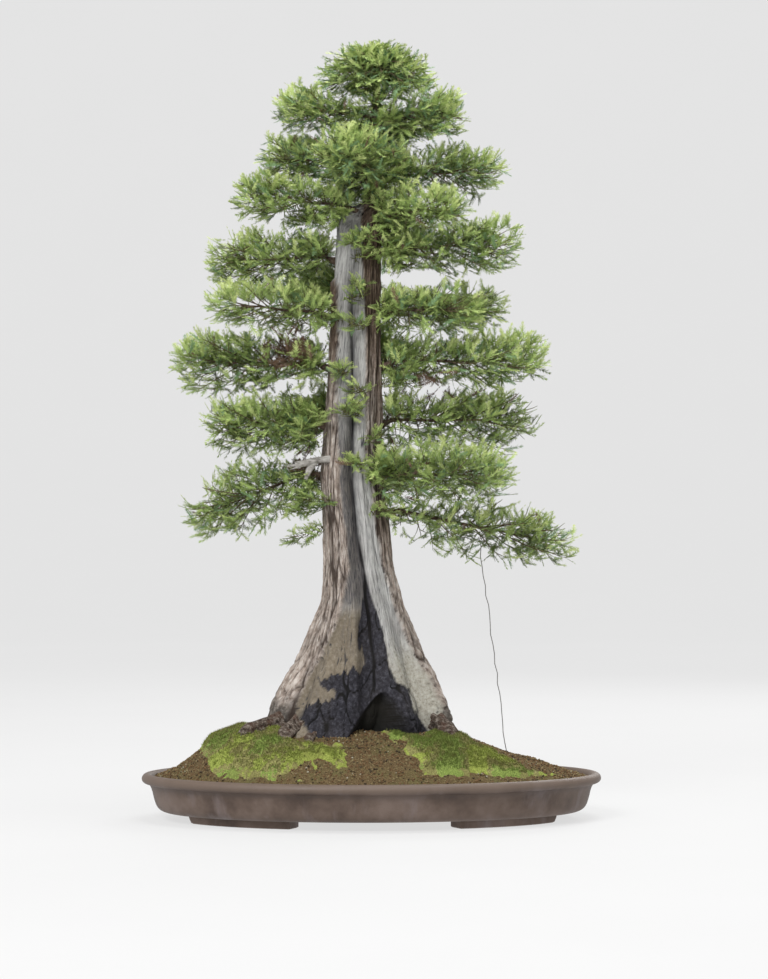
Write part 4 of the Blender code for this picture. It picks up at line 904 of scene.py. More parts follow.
def oval(inset, turn):
    return ((POT_LENGTH / 2 - inset) * np.cos(turn), (POT_WIDTH / 2 - inset) * np.sin(turn))


def rounded(profile):
    """Open outline with its corners cut, over and over, and its ends kept."""
    points = np.array(profile)
    for _ in range(POT_ROUNDINGS):
        near = points[:-1] * 0.75 + points[1:] * 0.25
        far = points[:-1] * 0.25 + points[1:] * 0.75
        cut = np.stack([near, far], axis=1).reshape(-1, 2)
        points = np.concatenate([points[:1], cut[1:-1], points[-1:]])
    return points


def make_pot():
    clay = clay_skin()
    profile = rounded(((0.150, POT_FOOT_HEIGHT),) + POT_OUTSIDE + POT_INSIDE)
    turns = turns_of(POT_AROUND)
    inset, height = profile[:, :1], profile[:, 1:]
    wobble = 0.0004 * noise(stacked(np.cos(turns) * 3, np.sin(turns) * 3, height * 20), 5)
    x, y = oval(inset + wobble, turns)
    points = stacked(x, y, height)
    quads = grid_faces(len(profile), POT_AROUND, closed=True)
    pot = mesh_piece("pot_body", points, quads, [clay], flat_map=strip_map(len(profile), POT_AROUND))
    for name, ring in (("pot_bottom", points[0, ::-1]), ("pot_inner_floor", points[-1])):
        lid = mesh_piece(name, ring, [list(range(POT_AROUND))], [clay])
    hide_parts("pot")
    make_feet()


def make_feet():
    clay = clay_skin("foot_clay", 1.25)
    parts = []
    for side_x, side_y in ((-1, -1), (1, -1), (1, 1), (-1, 1)):
        rings = []
        for height, shrink, taper in FOOT_LEVELS:
            low = math.acos((FOOT_SPAN[1] - taper) / (POT_LENGTH / 2 - FOOT_INSET))
            high = math.acos((FOOT_SPAN[0] + shrink) / (POT_LENGTH / 2 - FOOT_INSET))
            run = np.linspace(high, low, FOOT_STEPS)
            outer = stacked(*oval(FOOT_INSET + shrink, run), height)
            inner = stacked(*oval(FOOT_INSET + FOOT_BREADTH - shrink, run), height)[::-1]
            ring = np.concatenate([outer, inner]) * (side_x, side_y, 1.0)
            rings.append(ring if side_x * side_y < 0 else ring[::-1])
        count = 2 * FOOT_STEPS
        faces = grid_faces(len(FOOT_LEVELS), count, closed=True)
        half = np.arange(FOOT_STEPS - 1)
        under = np.stack([half, count - 1 - half, count - 2 - half, half + 1], axis=-1)
        parts.append((np.concatenate(rings), np.concatenate([faces, under])))
    feet = mesh_piece("pot_feet", *joined(parts), [clay], smooth=False)


# Soil and moss

def soil_height(x, y):
    half_length, half_width = INNER_HALF
    edge_y = half_width * np.sqrt(np.maximum(1.0 - (x / half_length) ** 2, 0.0004))
    across = np.minimum(np.abs(y) / edge_y, 1.0)
    swell = np.maximum(blend_rows(MOUND_RIDGE, x) - SOIL_EDGE_Z, 0.0)
    uneven = SOIL_LUMP * (np.sin(61.0 * x + 1.3) * np.sin(73.0 * y + 0.4)
                          + 0.6 * np.sin(127.0 * x - 89.0 * y))
    return SOIL_EDGE_Z + swell * (1.0 - across ** MOUND_FALL) + uneven * soft(3.0 * (1.0 - across))


def soil_surface(x, y):
    """Soil height with its fine crumb."""
    height, scale = SOIL_CRUMB
    return soil_height(x, y) + height * noise(stacked(x, y, 0.0) * scale, 11, 2)


def make_soil():
    turns = turns_of(SOIL_AROUND)
    shares = np.linspace(1.0, 0.004, SOIL_RINGS)[:, None]
    x, y = oval(SOIL_INSET, turns)
    x, y = x * shares, y * shares
    points = stacked(x, y, soil_surface(x, y))
    flat = np.stack([x / POT_LENGTH + 0.5, y / POT_LENGTH + 0.5], axis=-1).reshape(-1, 2)
    bed = mesh_piece("soil_bed", points, grid_faces(SOIL_RINGS, SOIL_AROUND, closed=True),
                     [soil_skin()], flat_map=flat)
    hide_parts("soil")
    make_grains()


def turned(count, chance):
    """Array of random rotations."""
    a, b, c = chance.random((3, count))
    q = np.stack([np.sqrt(1 - a) * np.sin(2 * np.pi * b), np.sqrt(1 - a) * np.cos(2 * np.pi * b),
                  np.sqrt(a) * np.sin(2 * np.pi * c), np.sqrt(a) * np.cos(2 * np.pi * c)], axis=-1)
    x, y, z, w = q.T
    rows = [[1 - 2 * (y * y + z * z), 2 * (x * y - z * w), 2 * (x * z + y * w)],
            [2 * (x * y + z * w), 1 - 2 * (x * x + z * z), 2 * (y * z - x * w)],
            [2 * (x * z - y * w), 2 * (y * z + x * w), 1 - 2 * (x * x + y * y)]]
    return np.moveaxis(np.array(rows), -1, 0)


def make_grains():
    """Crumbs of clay soil strewn over the bed where the moss leaves it bare."""
    chance = np.random.default_rng(SEED)
    share = np.sqrt(chance.random(GRAIN_COUNT))
    turn = chance.random(GRAIN_COUNT) * 2.0 * math.pi
    x, y = oval(GRAIN_INSET, turn)
    x, y = x * share, y * share
    under = np.max([moss_depth(number, x, y) for number in range(len(MOSS_PADS))], axis=0)
    x, y = x[under < MOSS_COVERS], y[under < MOSS_COVERS]
    count = len(x)
    corners = np.array([(1, 0, 0), (0, 1, 0), (-1, 0, 0), (0, -1, 0), (0, 0, 1), (0, 0, -1)], float)
    sides = np.array([(0, 1, 4), (1, 2, 4), (2, 3, 4), (3, 0, 4), (1, 0, 5), (2, 1, 5), (3, 2, 5),
                      (0, 3, 5)])
    size = GRAIN_SIZE[0] + (GRAIN_SIZE[1] - GRAIN_SIZE[0]) * chance.random(count) ** 2
    shape = corners[None] * (0.75 + 0.5 * chance.random((count, 6, 1)))
    shape = np.einsum("nij,nkj->nki", turned(count, chance), shape) * size[:, None, None]
    place = stacked(x, y, soil_surface(x, y) + size * GRAIN_RAISED)
    points = (shape + place[:, None]).reshape(-1, 3)
    faces = (sides[None] + 6 * np.arange(count)[:, None, None]).reshape(-1, 3)
    kind = np.searchsorted(GRAIN_SHARES, chance.random(count))
    grains = mesh_piece("soil_grains", points, faces, [grain_skin(*row) for row in GRAINS],
                        smooth=False, face_skins=np.repeat(kind, len(sides)))


def foot_reach(angle):
    """Furthest reach of the root flare at an angle, over the height that soil can lie at."""
    base = trunk_axis(TRUNK_BASE_Z)
    reach = np.zeros_like(angle)
    for z in np.linspace(TRUNK_BASE_Z, FLARE_TOP_Z, 5):
        x, y = trunk_outline(angle, z)
        reach = np.maximum(reach, np.hypot(x - base[0], y - base[1]))
    return reach


def rim_distance(centre, angle):
    """Distance from a point inside the pot to the inner wall along an angle."""
    half_length, half_width = INNER_HALF
    x, y = np.cos(angle) / half_length, np.sin(angle) / half_width
    along = x * centre[0] / half_length + y * centre[1] / half_width
    inside = 1.0 - (centre[0] / half_length) ** 2 - (centre[1] / half_width) ** 2
    square = x * x + y * y
    return (np.sqrt(along * along + square * inside) - along) / square


def cushions(x, y, size, seed):
    """Height between 0 and 1 of round cushions that press against each other."""
    cell_x, cell_y = np.floor(x / size), np.floor(y / size)
    nearest = np.full(np.shape(x), 9.0)
    for dx in (-1, 0, 1):
        for dy in (-1, 0, 1):
            cx, cy = cell_x + dx, cell_y + dy
            ix, iy = cx.astype(np.int64), cy.astype(np.int64)
            px = (cx + 0.5 + CUSHION_STRAY * lattice(ix, iy, ix * 0, seed)) * size
            py = (cy + 0.5 + CUSHION_STRAY * lattice(ix, iy, ix * 0 + 1, seed)) * size
            nearest = np.minimum(nearest, np.hypot(x - px, y - py) / size)
    return np.sqrt(np.clip(1.0 - (nearest / CUSHION_WIDTH) ** 2, 0.0, 1.0))


def pad_span(angle, outer_share):
    """Distances from the trunk's middle at which a moss pad starts and ends along an angle."""
    toward_front = np.maximum(-np.sin(angle), np.cos(angle - MOSS_SPREAD_TURN))
    spread = MOSS_SPREAD * soft(1.8 * toward_front - 0.15)
    far = rim_distance(trunk_axis(TRUNK_BASE_Z), angle) * (outer_share + MOSS_REACH + spread)
    return foot_reach(angle) + 0.001, far


def moss_depth(number, x, y):
    """How far inside a moss pad each place is, in metres, and below 0 outside it."""
    first, last, outer_share = MOSS_PADS[number][1:4]
    seed = MOSS_SEED + number
    centre = trunk_axis(TRUNK_BASE_Z)
    angle = np.arctan2(y - centre[1], x - centre[0]) % (2.0 * math.pi)
    reach = np.hypot(x - centre[0], y - centre[1])
    inner, far = pad_span(angle, outer_share)
    ground = stacked(x, y, 0.0)
    ends = np.minimum(angle - math.radians(first), math.radians(last) - angle) * reach
    behind = soft(1.0 + np.sin(angle))
    lean, lean_scale = MOSS_BACK_LEAN
    bend = lean * behind * reach * (0.5 + noise(ground * lean_scale, seed + 13, 2))
    sides = np.minimum(reach - inner + 0.004, far - reach)
    edge = sum(height * noise(ground * scale, seed + off, octaves)
               for height, scale, off, octaves in MOSS_RAGGED)
    edge = edge * (1.0 - MOSS_BACK_CALM * behind)
    base, height, scale = MOSS_HOLES
    holes = base + MOSS_BACK_FEWER * behind - height * noise(ground * scale, seed + 9, 2)
    border = 0.5 * np.minimum(ends, far - reach) - MOSS_BORDER - 0.4 * np.abs(edge)
    depth = np.minimum(np.minimum(ends - bend, sides) - MOSS_INSET - edge, holes)
    depth = np.minimum(depth, border)
    for bare_x, bare_y, half_x, half_y in MOSS_BARE:
        away = np.hypot((x - bare_x) / half_x, (y - bare_y) / half_y) - 1.0
        depth = np.minimum(depth, MOSS_BARE_SLOPE * away - edge)
    return depth


def make_moss():
    skins = [moss_skin(*row) for row in MOSSES]
    centre = trunk_axis(TRUNK_BASE_Z)
    for number, (name, first, last, outer_share, brighter) in enumerate(MOSS_PADS):
        seed = MOSS_SEED + number
        u, v = np.meshgrid(np.linspace(0, 1, MOSS_ROUND), np.linspace(0, 1, MOSS_OUT), indexing="ij")
        angle = np.radians(first + (last - first) * u)
        inner, far = pad_span(angle, outer_share)
        reach = inner + (far - inner) * v
        x, y = centre[0] + reach * np.cos(angle), centre[1] + reach * np.sin(angle)
        ground = stacked(x, y, 0.0)
        thick = soft(moss_depth(number, x, y) / MOSS_FULL_DEPTH)
        flat_share, (wide_share, wide), (small_share, small) = MOSS_CUSHIONS
        swell = flat_share + wide_share * cushions(x, y, wide, seed)
        swell = swell + small_share * cushions(x, y, small, seed + 3)
        height = MOSS_HEIGHT * thick * swell
        height = height + MOSS_VELVET[0] * noise(ground * MOSS_VELVET[1], seed + 5, 2)
        lift = np.where(thick > 0, MOSS_LIFT * soft(thick * 3), 0)
        points = stacked(x, y, soil_surface(x, y) - MOSS_SUNK + lift + height)
        faces = grid_faces(MOSS_ROUND, MOSS_OUT)[:, ::-1]
        thick = thick.ravel()
        shown = (thick[faces] > MOSS_SHOWN).any(axis=1)
        tint = noise(ground * 30.0, seed + 7, 2) + 0.34 * noise(ground * 260.0, seed + 8, 2)
        tint = tint.ravel() + brighter
        kind = np.searchsorted(MOSS_TONES, -tint)[faces[:, 0]]
        flat = np.stack([u, v], axis=-1).reshape(-1, 2)
        points, faces, used = kept_points(points.reshape(-1, 3), faces[shown])
        pad = mesh_piece(name + "_cushions", points, faces, skins, face_skins=kind[shown],
                         flat_map=flat[used])
        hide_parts(name)
        grown = thick[used] > 0.5
        make_tufts(name, points[grown], skins, tint[used][grown], seed)


def kept_points(points, faces):
    """Points that some face uses, the faces renumbered, and the old numbers of the points."""
    used, back = np.unique(faces.ravel(), return_inverse=True)
    return points[used], back.reshape(faces.shape), used


def make_tufts(name, places, skins, tint, seed):
    """Upright leafy stems, three blades each, that make the moss velvety."""
    chance = np.random.default_rng(seed)
    pick = chance.integers(0, len(places), MOSS_TUFTS)
    foot = places[pick] + chance.normal(0, TUFT_STRAY, (MOSS_TUFTS, 3)) * (1, 1, 0)
    turn = chance.random((MOSS_TUFTS, 1)) * TUFT_TURNS[0] + np.arange(TUFT_BLADES) * TUFT_TURNS[1]
    lean = TUFT_LEAN[0] + TUFT_LEAN[1] * chance.random((MOSS_TUFTS, TUFT_BLADES))
    length = TUFT_LENGTH[0] + TUFT_LENGTH[1] * chance.random((MOSS_TUFTS, TUFT_BLADES))
    out = stacked(np.cos(turn) * lean, np.sin(turn) * lean, 1.0) * length[..., None]
    side = stacked(-np.sin(turn), np.cos(turn), 0.0) * TUFT_HALF_WIDTH
    base = foot[:, None] - (0, 0, TUFT_SUNK)
    points = np.stack([base - side, base + side, base + out], axis=2).reshape(-1, 3)
    faces = np.arange(len(points)).reshape(-1, 3)
    kind = np.searchsorted(MOSS_TONES, -tint[pick] + 0.12 * chance.normal(size=MOSS_TUFTS))
    tufts = mesh_piece(name + "_tufts", points, faces, skins, smooth=False,
                       face_skins=np.repeat(kind, TUFT_BLADES))


# Trunk

def section(z):
    """Left, right, front and back of the trunk at a height, eased over its sections."""
    return [np.mean([blend_rows(TRUNK_SECTIONS, z + off, column) for off in SECTION_EASING], axis=0)
            for column in (1, 2, 3, 4)]


def trunk_axis(z):
    left, right, front, back = (blend_rows(TRUNK_SECTIONS, z, column) for column in (1, 2, 3, 4))
    return np.array([(left + right) / 2, (front + back) / 2, z])


def angle_between(a, b):
    return np.abs((a - b + math.pi) % (2.0 * math.pi) - math.pi)


def trunk_radius(angle, z, sides):
    """Distance from the trunk's axis to its surface at an angle and a height."""
    left, right, front, back = sides
    half_x, half_y = (right - left) / 2, (back - front) / 2
    axis_x, axis_y = (left + right) / 2, (front + back) / 2
    radius = 1.0 / np.hypot(np.cos(angle) / half_x, np.sin(angle) / half_y)
    near_root = np.max([np.exp(-(angle_between(angle, math.radians(root))
                                 / math.radians(ROOT_SPREAD)) ** 2) for root in ROOT_ANGLES], axis=0)
    flare = soft((ROOT_TOP_Z - z) / (ROOT_TOP_Z - TRUNK_BASE_Z))
    radius = radius * (1.0 - ROOT_HOLLOW * flare * (1.0 - near_root))
    whole = z < LIVE_TOP_Z
    depth, count, twist, uneven = RIDGES
    ridge = depth * np.cos(count * angle + twist * z + uneven * np.sin(3.0 * angle))
    radius = radius * np.where(whole, 1.0 + ridge, 1.0)
    x = axis_x + radius * np.cos(angle)
    inward = np.minimum(x - blend_rows(DEAD_LEFT, z), blend_rows(DEAD_RIGHT, z) - x)
    radius = radius - np.where(whole & (np.sin(angle) < 0.0), DEAD_DEPTH * soft(inward / DEAD_SLOPE), 0)
    groove_angle = np.arctan2(front - axis_y, blend_rows(GROOVE_LINE, z) - axis_x)
    off_groove = angle_between(angle, groove_angle) * radius / GROOVE_WIDTH
    radius = radius - np.where(whole & (off_groove < 1.0), GROOVE_DEPTH * (1.0 - off_groove ** 2), 0)
    up = np.clip((z - TRUNK_BASE_Z) / (CAVE_PEAK_Z - TRUNK_BASE_Z), 0.0, 1.0)
    half_width = CAVE_HALF_WIDTH * (1.0 - up) ** CAVE_ARCH + 1e-6
    x = axis_x + radius * np.cos(angle)
    inside = (z < CAVE_PEAK_Z) & (np.sin(angle) < -0.3) & (np.abs(x - CAVE_X) < half_width)
    share = np.where(inside, 1.0 - soft((np.abs(x - CAVE_X) / half_width) ** 6), 0.0)
    back_wall = CAVE_BACK + CAVE_SLANT * up * radius
    return radius + (np.minimum(back_wall, radius) - radius) * share, share


def trunk_outline(angle, z):
    """Place of the trunk's plain surface at an angle and a height."""
    sides = section(z)
    radius, _ = trunk_radius(angle, z, sides)
    return ((sides[0] + sides[1]) / 2 + radius * np.cos(angle),
            (sides[2] + sides[3]) / 2 + radius * np.sin(angle))


def trunk_weights(x, z, front, jitter):
    """How far each point is dead wood and char, and takes each other colour, between 0 and 1."""
    from_left = x - blend_rows(BARK_LEFT, z) + jitter
    from_right = blend_rows(BARK_RIGHT, z) - x + jitter
    wood = soft(np.minimum(from_left, from_right) / MARK_EDGE) * front
    streak = z + 0.007 * noise(stacked(x * 230.0, 0.0, 0.0), 49)
    char_edge = np.minimum(x - blend_rows(CHAR_LEFT, streak), blend_rows(CHAR_RIGHT, z) - x)
    rough = jitter * blend_rows(((0.19, 2.2), (0.30, 0.5), (0.5, 0.2)), z)
    char = soft((char_edge + rough) / MARK_EDGE + 0.3) * wood
    left_of_crack = soft((blend_rows(CHAR_RIGHT, z) - x) / 0.004)
    khaki = soft((0.300 - z + 4 * jitter) / 0.03) * left_of_crack
    beige = 0.9 * soft((0.262 - z + 6 * jitter) / 0.07) * (1.0 - khaki)
    stain = soft((0.184 - z + 9 * jitter - 0.02 * soft(x / 0.05)) / 0.034) * 0.92
    slate = left_of_crack * above(z, 0.265, 0.04) * (1.0 - 0.85 * above(z, 0.47, 0.12))
    red = np.maximum(above(z, 0.52, 0.16), 0.65 * soft(x / 0.004) * above(z, 0.3, 0.1))
    return wood, char, {"khaki": khaki, "beige": beige, "slate": slate, "red": red, "stain": stain}


def ring_noise(ring, name):
    """One of the trunk's named noises, at the directions and heights of its surface."""
    around, upward, seed, octaves = TRUNK_NOISE[name]
    return noise(ring * (around, around, upward), seed, octaves)


def ridged(value, power):
    """Sharp ridges, 1 at their crest, where a noise passes through 0."""
    return 1.0 - np.abs(value) ** power


def trunk_relief(ring, actual, size, wood, char, front):
    """Height of bark, bare wood and char over the plain surface, and how deep it lies in furrows and
    cracks, which sets painted shade.
    """
    z = actual[..., 2]
    low_down = below(z, 0.36, 0.12)
    grown = ring + stacked(*(noise(ring * (6.0, 6.0, 16.0), 33 + k) for k in range(3))) * STRAY
    ropes = ring_noise(grown, "ropes")
    strands, fibres = (low_down * ring_noise(grown, "low_" + kind)
                       + (1.0 - low_down) * ring_noise(grown, "high_" + kind)
                       for kind in ("strands", "fibres"))
    rope_in, strand_in, fibre_in = ridged(ropes, 0.8), ridged(strands, 0.7), ridged(fibres, 0.8)
    bark = (ROPE_DEPTH * (rope_in ** 3 - 0.25) + STRAND_DEPTH * (strand_in ** 4 - 0.2)
            + FIBRE_DEPTH * (fibre_in ** 2 - 0.3))
    bark = -size * bark + FLAKE_DEPTH * size * ring_noise(grown, "flakes")
    crack = above(ridged(ring_noise(grown, "cracks"), 0.6), 0.80, 0.16)
    crack = crack * soft((ring_noise(ring, "cracked_patches") + 0.25) / 0.25)
    bare = WOOD_SWIRL * ring_noise(grown, "swirls") - WOOD_FIBRE * fibre_in - WOOD_CRACK * crack
    bare = size * bare - WOOD_SUNK
    lumps = noise(actual * 62.0, 30, 2)
    blocks = np.round(noise(actual * (90.0, 90.0, 46.0), 31, 2) * 4.0) / 4.0
    char_crack = above(ridged(noise(actual * (110.0, 60.0, 26.0), 32), 0.6), 0.78, 0.18)
    burnt = -CHAR_SUNK + CHAR_LUMP * lumps + CHAR_BLOCK * blocks - CHAR_CRACK * char_crack
    relief = bark * (1.0 - wood) + bare * wood
    relief = relief * (1.0 - char) + burnt * size * char
    relief = relief * below(z, 1.03, 0.03) * (1.0 - 0.75 * above(z, 0.80, 0.03))
    lip = np.exp(-((wood - 0.12) / 0.16) ** 2) * front * (1.0 - char)
    relief = relief + LIP_HEIGHT * lip * (0.8 + 0.7 * ropes) * below(z, 0.80, 0.05)
    # Weight of painted shade: depth in the bark's furrows and in the cracks of the wood and the char.
    groove = np.where(wood > 0.5, crack, np.maximum(rope_in ** 6, 0.8 * strand_in ** 5))
    return relief, groove * (1.0 - char) + char * char_crack


def front_split(actual, front):
    """The crack up the middle of the dead front, 1 in its bottom and 0 away from it."""
    x, z = actual[..., 0], actual[..., 2]
    wander = 0.0012 * noise(actual * (0.0, 0.0, 44.0), 45, 2)
    off = (x + wander - blend_rows(CRACK_LINE, z)) / blend_rows(CRACK_WIDTH, z)
    split = np.exp(-off ** 2) * front * above(z, 0.165, 0.02) * below(z, 0.76, 0.04)
    return split * (0.72 + 0.5 * noise(actual * (60.0, 0.0, 30.0), 46, 2))


def make_trunk():
    heights = np.concatenate([np.linspace(low, high, count, endpoint=False)
                              for low, high, count in TRUNK_ROWS] + [[TRUNK_ROWS[-1][1]]])
    angle, z = np.meshgrid(turns_of(TRUNK_AROUND), heights)
    ring = stacked(np.cos(angle), np.sin(angle), z)
    # The dead half of the top is broken off in splinters.
    splinter = (0.016 * ring_noise(ring, "long_splinters")
                + 0.010 * ring_noise(ring, "short_splinters") - 0.003)
    read_at = z + splinter * np.exp(-((z - BROKEN_TOP[0]) / BROKEN_TOP[1]) ** 2)
    sides = section(read_at)
    radius, cave = trunk_radius(angle, read_at, sides)
    axis_x, axis_y = (sides[0] + sides[1]) / 2, (sides[2] + sides[3]) / 2
    actual = stacked(axis_x + radius * np.cos(angle), axis_y + radius * np.sin(angle), z)
    front = soft(-np.sin(angle) * 9.0 + 0.6)
    jitter = 0.0035 * ring_noise(ring, "wide_edges") + 0.0012 * ring_noise(ring, "fine_edges")
    wood, char, colours = trunk_weights(actual[..., 0], z, front, jitter)
    size = np.clip(radius / 0.10, 0.42, 1.0)
    relief, groove = trunk_relief(ring, actual, size, wood, char, front)
    radius = radius + relief
    split = front_split(actual, front)
    points = stacked(axis_x + radius * np.cos(angle),
                     axis_y + radius * np.sin(angle) + SPLIT_DEPTH * split, z)
    # The bottom of the front's crack is painted with shade as well.
    groove = np.maximum(groove, split * blend_rows(CRACK_PAINTED_SHADE, z))
    # Painted shade: the cave's hollow is taken to near black.
    dark = cave ** 0.5 * below(z, 0.175, 0.01)
    weights = {"wood": wood, "char": char, "groove": np.clip(groove, 0, 1), "dark": dark, **colours}
    weights = {"flow": (ring * (0.05, 0.05, 1.0)).reshape(-1, 3),
               **{name: weight.ravel() for name, weight in weights.items()}}
    trunk = mesh_piece("trunk_surface", points, grid_faces(len(heights), TRUNK_AROUND, closed=True),
                       [trunk_skin()], attributes=weights,
                       flat_map=strip_map(len(heights), TRUNK_AROUND))
    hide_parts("trunk")


# Limbs

def heading(degrees, rise=0.0):
    """Direction outward at an angle about the trunk, with its rise."""
    angle = math.radians(degrees)
    return Vector((math.cos(angle), math.sin(angle), rise))


def cross_axes(along):
    """Two directions square to a direction: one level, one upward."""
    across = along.cross(Vector((0.0, 0.0, 1.0)))
    if across.length < 0.05:
        across = along.cross(Vector((0.0, 1.0, 0.0)))
    across.normalize()
    return across, across.cross(along).normalized()


def frame_tree(name):
    """Surface of one of the frame's nodes, to cast rays at."""
    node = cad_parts[name]
    points = [node.matrix_world @ v.co for v in node.data.vertices]
    return BVHTree.FromPolygons(points, [list(f.vertices) for f in node.data.polygons])


def seat_on_trunk(tree, aim, outward):
    return tree.ray_cast(aim + outward * RAY_START, -outward)[0]


def line_through(points, count):
    """Even curve through a few points."""
    points = np.array([tuple(p) for p in points])
    padded = np.concatenate([2 * points[:1] - points[1:2], points, 2 * points[-1:] - points[-2:-1]])
    at = np.linspace(0, len(points) - 1, count)
    k = np.minimum(at.astype(int), len(points) - 2)
    t = (at - k)[:, None]
    a, b, c, d = (padded[k + n] for n in range(4))
    return 0.5 * (2 * b + (c - a) * t + (2 * a - 5 * b + 4 * c - d) * t ** 2
                  + (3 * b - a - 3 * c + d) * t ** 3)


def spread_over(values, count):
    """A few values read at even steps from the first to the last."""
    return np.interp(np.linspace(0, 1, count), np.linspace(0, 1, len(values)), values)


def tubes(curves, radii, sides):
    """Points and faces of tubes along an array of curves with as many points each."""
    curves = np.asarray(curves, float)
    count, steps = curves.shape[:2]
    along = np.gradient(curves, axis=1)
    along /= np.linalg.norm(along, axis=2, keepdims=True) + 1e-12
    whole = curves[:, -1] - curves[:, 0]
    upright = np.abs(whole[:, 2]) > 0.8 * np.linalg.norm(whole, axis=1)
    guide = np.where(upright[:, None], (1.0, 0.0, 0.0), (0.0, 0.0, 1.0))[:, None]
    side = np.cross(along, np.broadcast_to(guide, along.shape))
    side /= np.linalg.norm(side, axis=2, keepdims=True) + 1e-12
    up = np.cross(side, along)
    turn = turns_of(sides)
    ring = (side[:, :, None] * np.cos(turn)[:, None] + up[:, :, None] * np.sin(turn)[:, None])
    radii = np.asarray(radii)
    radii = radii[..., None] if radii.ndim == 2 else radii
    points = curves[:, :, None] + ring * radii[..., None]
    faces = grid_faces(steps, sides, closed=True)
    faces = faces[None] + (steps * sides * np.arange(count))[:, None, None]
    return points.reshape(-1, 3), faces.reshape(-1, 4)


def bark_tube(line, radii, sides, seed, rough=0.20):
    """One limb with furrowed bark."""
    line = line + 0.0012 * stacked(*(noise(line * 60.0, seed + k) for k in range(3)))
    turn = turns_of(sides)
    spot = stacked(np.cos(turn) * 1.6, np.sin(turn) * 1.6, np.linspace(0, 1, len(line))[:, None]
                   * np.linalg.norm(line[-1] - line[0]) * 60.0)
    furrow = 1.0 - np.abs(noise(spot, seed + 5)) ** 0.7
    swell = 1.0 + rough * (0.5 - furrow) + rough * 0.8 * noise(spot * (1, 1, 0.5), seed + 6)
    return tubes(line[None], (np.asarray(radii)[:, None] * swell)[None], sides)


class Pad:
    """One mass of foliage: where it starts, which way it runs and the space it keeps to."""

    def __init__(self, name, start, end, half_breadth, half_height):
        self.name = name
        self.start = start
        self.end = end
        self.along = (end - start).normalized()
        self.across, self.up = cross_axes(self.along)
        self.centre = (start + end) / 2
        self.half = ((end - start).length / 2 + SPACE_MARGIN, half_breadth, half_height)
        self.cone = SPRAY_CONE
        self.flatness = SPRAY_FLATNESS
        self.lowest = SPRAY_LOWEST
        self.sprays = SPRAYS_PER_MASS
        self.inward = INWARD_REACH
        self.walls = []

    def point(self, along, across, up):
        return self.start + along * self.along + across * self.across + up * self.up

    def depth(self, points):
        """How far out each point is: 0 at the middle, 1 at the edge of the space or a wall."""
        points = np.asarray(points)
        axes = np.array([tuple(self.along), tuple(self.across), tuple(self.up)])
        middle = self.centre - self.along * self.inward / 2
        half = np.array(self.half) * SPACE_SWELL + (self.inward / 2, 0.0, 0.0)
        parts = np.abs((points - tuple(middle)) @ axes.T / half)
        return (parts ** SPACE_POWER).sum(axis=-1) ** (1.0 / SPACE_POWER)

    def holds(self, points, share=1.0, margin=0.0):
        points = np.asarray(points)
        inside = self.depth(points) <= share
        for normal, limit in self.walls:
            inside &= points @ np.array(normal) < limit + margin
        return inside


def make_pads(tree):
    """The masses from the table; those without a bough start on the trunk itself."""
    pads = []
    for number, row in enumerate(FOLIAGE):
        name, degrees, z, begin, finish, breadth, height, rise = row
        axis = Vector(trunk_axis(z))
        out = heading(degrees)
        start = axis + out * begin + Vector((0, 0, -rise / 2))
        if number < FIRST_WITH_BOUGH:
            start = seat_on_trunk(tree, axis, out)
        end = axis + out * finish + Vector((0, 0, rise / 2))
        pads.append(Pad("foliage_" + name, start, end, breadth, height))
    name, centre, height, breadth, depth = APEX
    top = Vector((TRUNK_SECTIONS[-1][1] * 0.5 + TRUNK_SECTIONS[-1][2] * 0.5, 0.0,
                  TRUNK_SECTIONS[-1][0] + GAP))
    crown = Pad("foliage_" + name, top, top + Vector((0.0, 0.0, APEX_STEM)), breadth, depth)
    crown.centre = Vector(centre)
    crown.half = (height, breadth, depth)
    crown.cone = APEX_CONE
    crown.flatness = 1.0
    crown.lowest = APEX_LOWEST
    crown.sprays = APEX_SPRAYS
    crown.inward = 0.0
    pads.append(crown)
    for pad in pads:
        pad.walls = [wall_between(pad, other) for other in pads if other is not pad]
    return pads


def make_shoots(tree):
    """Small masses with no bough, that stand straight on the trunk's bark."""
    shoots = []
    for number, (z, degrees, aside, length, rise) in enumerate(BARK_SHOOTS):
        root = seat_on_trunk(tree, Vector(trunk_axis(z)), heading(degrees))
        way = heading(degrees + aside, rise).normalized()
        start = root - way * SHOOT_SUNK
        shoot = Pad("shoot_%d" % number, start, root + way * length, *SHOOT_HALF)
        shoot.sprays = SHOOT_SPRAYS
        shoot.inward = 0.0
        shoots.append(shoot)
    return shoots


def tier_of(z, pads):
    """Tier of the mass nearest in height."""
    nearest = min(pads[:-1], key=lambda pad: abs(pad.centre.z - z))
    return nearest.name.split("_")[1]


def wall_between(pad, other):
    """Flat wall between two masses, weighted by their height, as a direction and a limit."""
    apart = other.centre - pad.centre
    normal = Vector((apart.x, apart.y, apart.z * LEVEL_SQUEEZE ** 2)).normalized()
    share = pad.half[2] / (pad.half[2] + other.half[2])
    return normal, normal.dot(pad.centre + apart * share) - SPACE_GAP


def bough_line(pad, tree):
    """Points of the bough that carries a mass, from inside the trunk to the mass."""
    aim = Vector(trunk_axis(pad.start.z - BOUGH_DROP))
    outward = Vector((pad.along.x, pad.along.y, BOUGH_RISE)).normalized()
    root = seat_on_trunk(tree, aim, outward)
    pull = (pad.start - root).length / 3
    bend_a, bend_b = root + outward * pull, pad.start - pad.along * pull
    points = [root - outward * BOUGH_SUNK]
    for k in range(4):
        t = k / 4
        points.append((1 - t) ** 3 * root + 3 * (1 - t) ** 2 * t * bend_a
                      + 3 * (1 - t) * t ** 2 * bend_b + t ** 3 * pad.start)
    return points


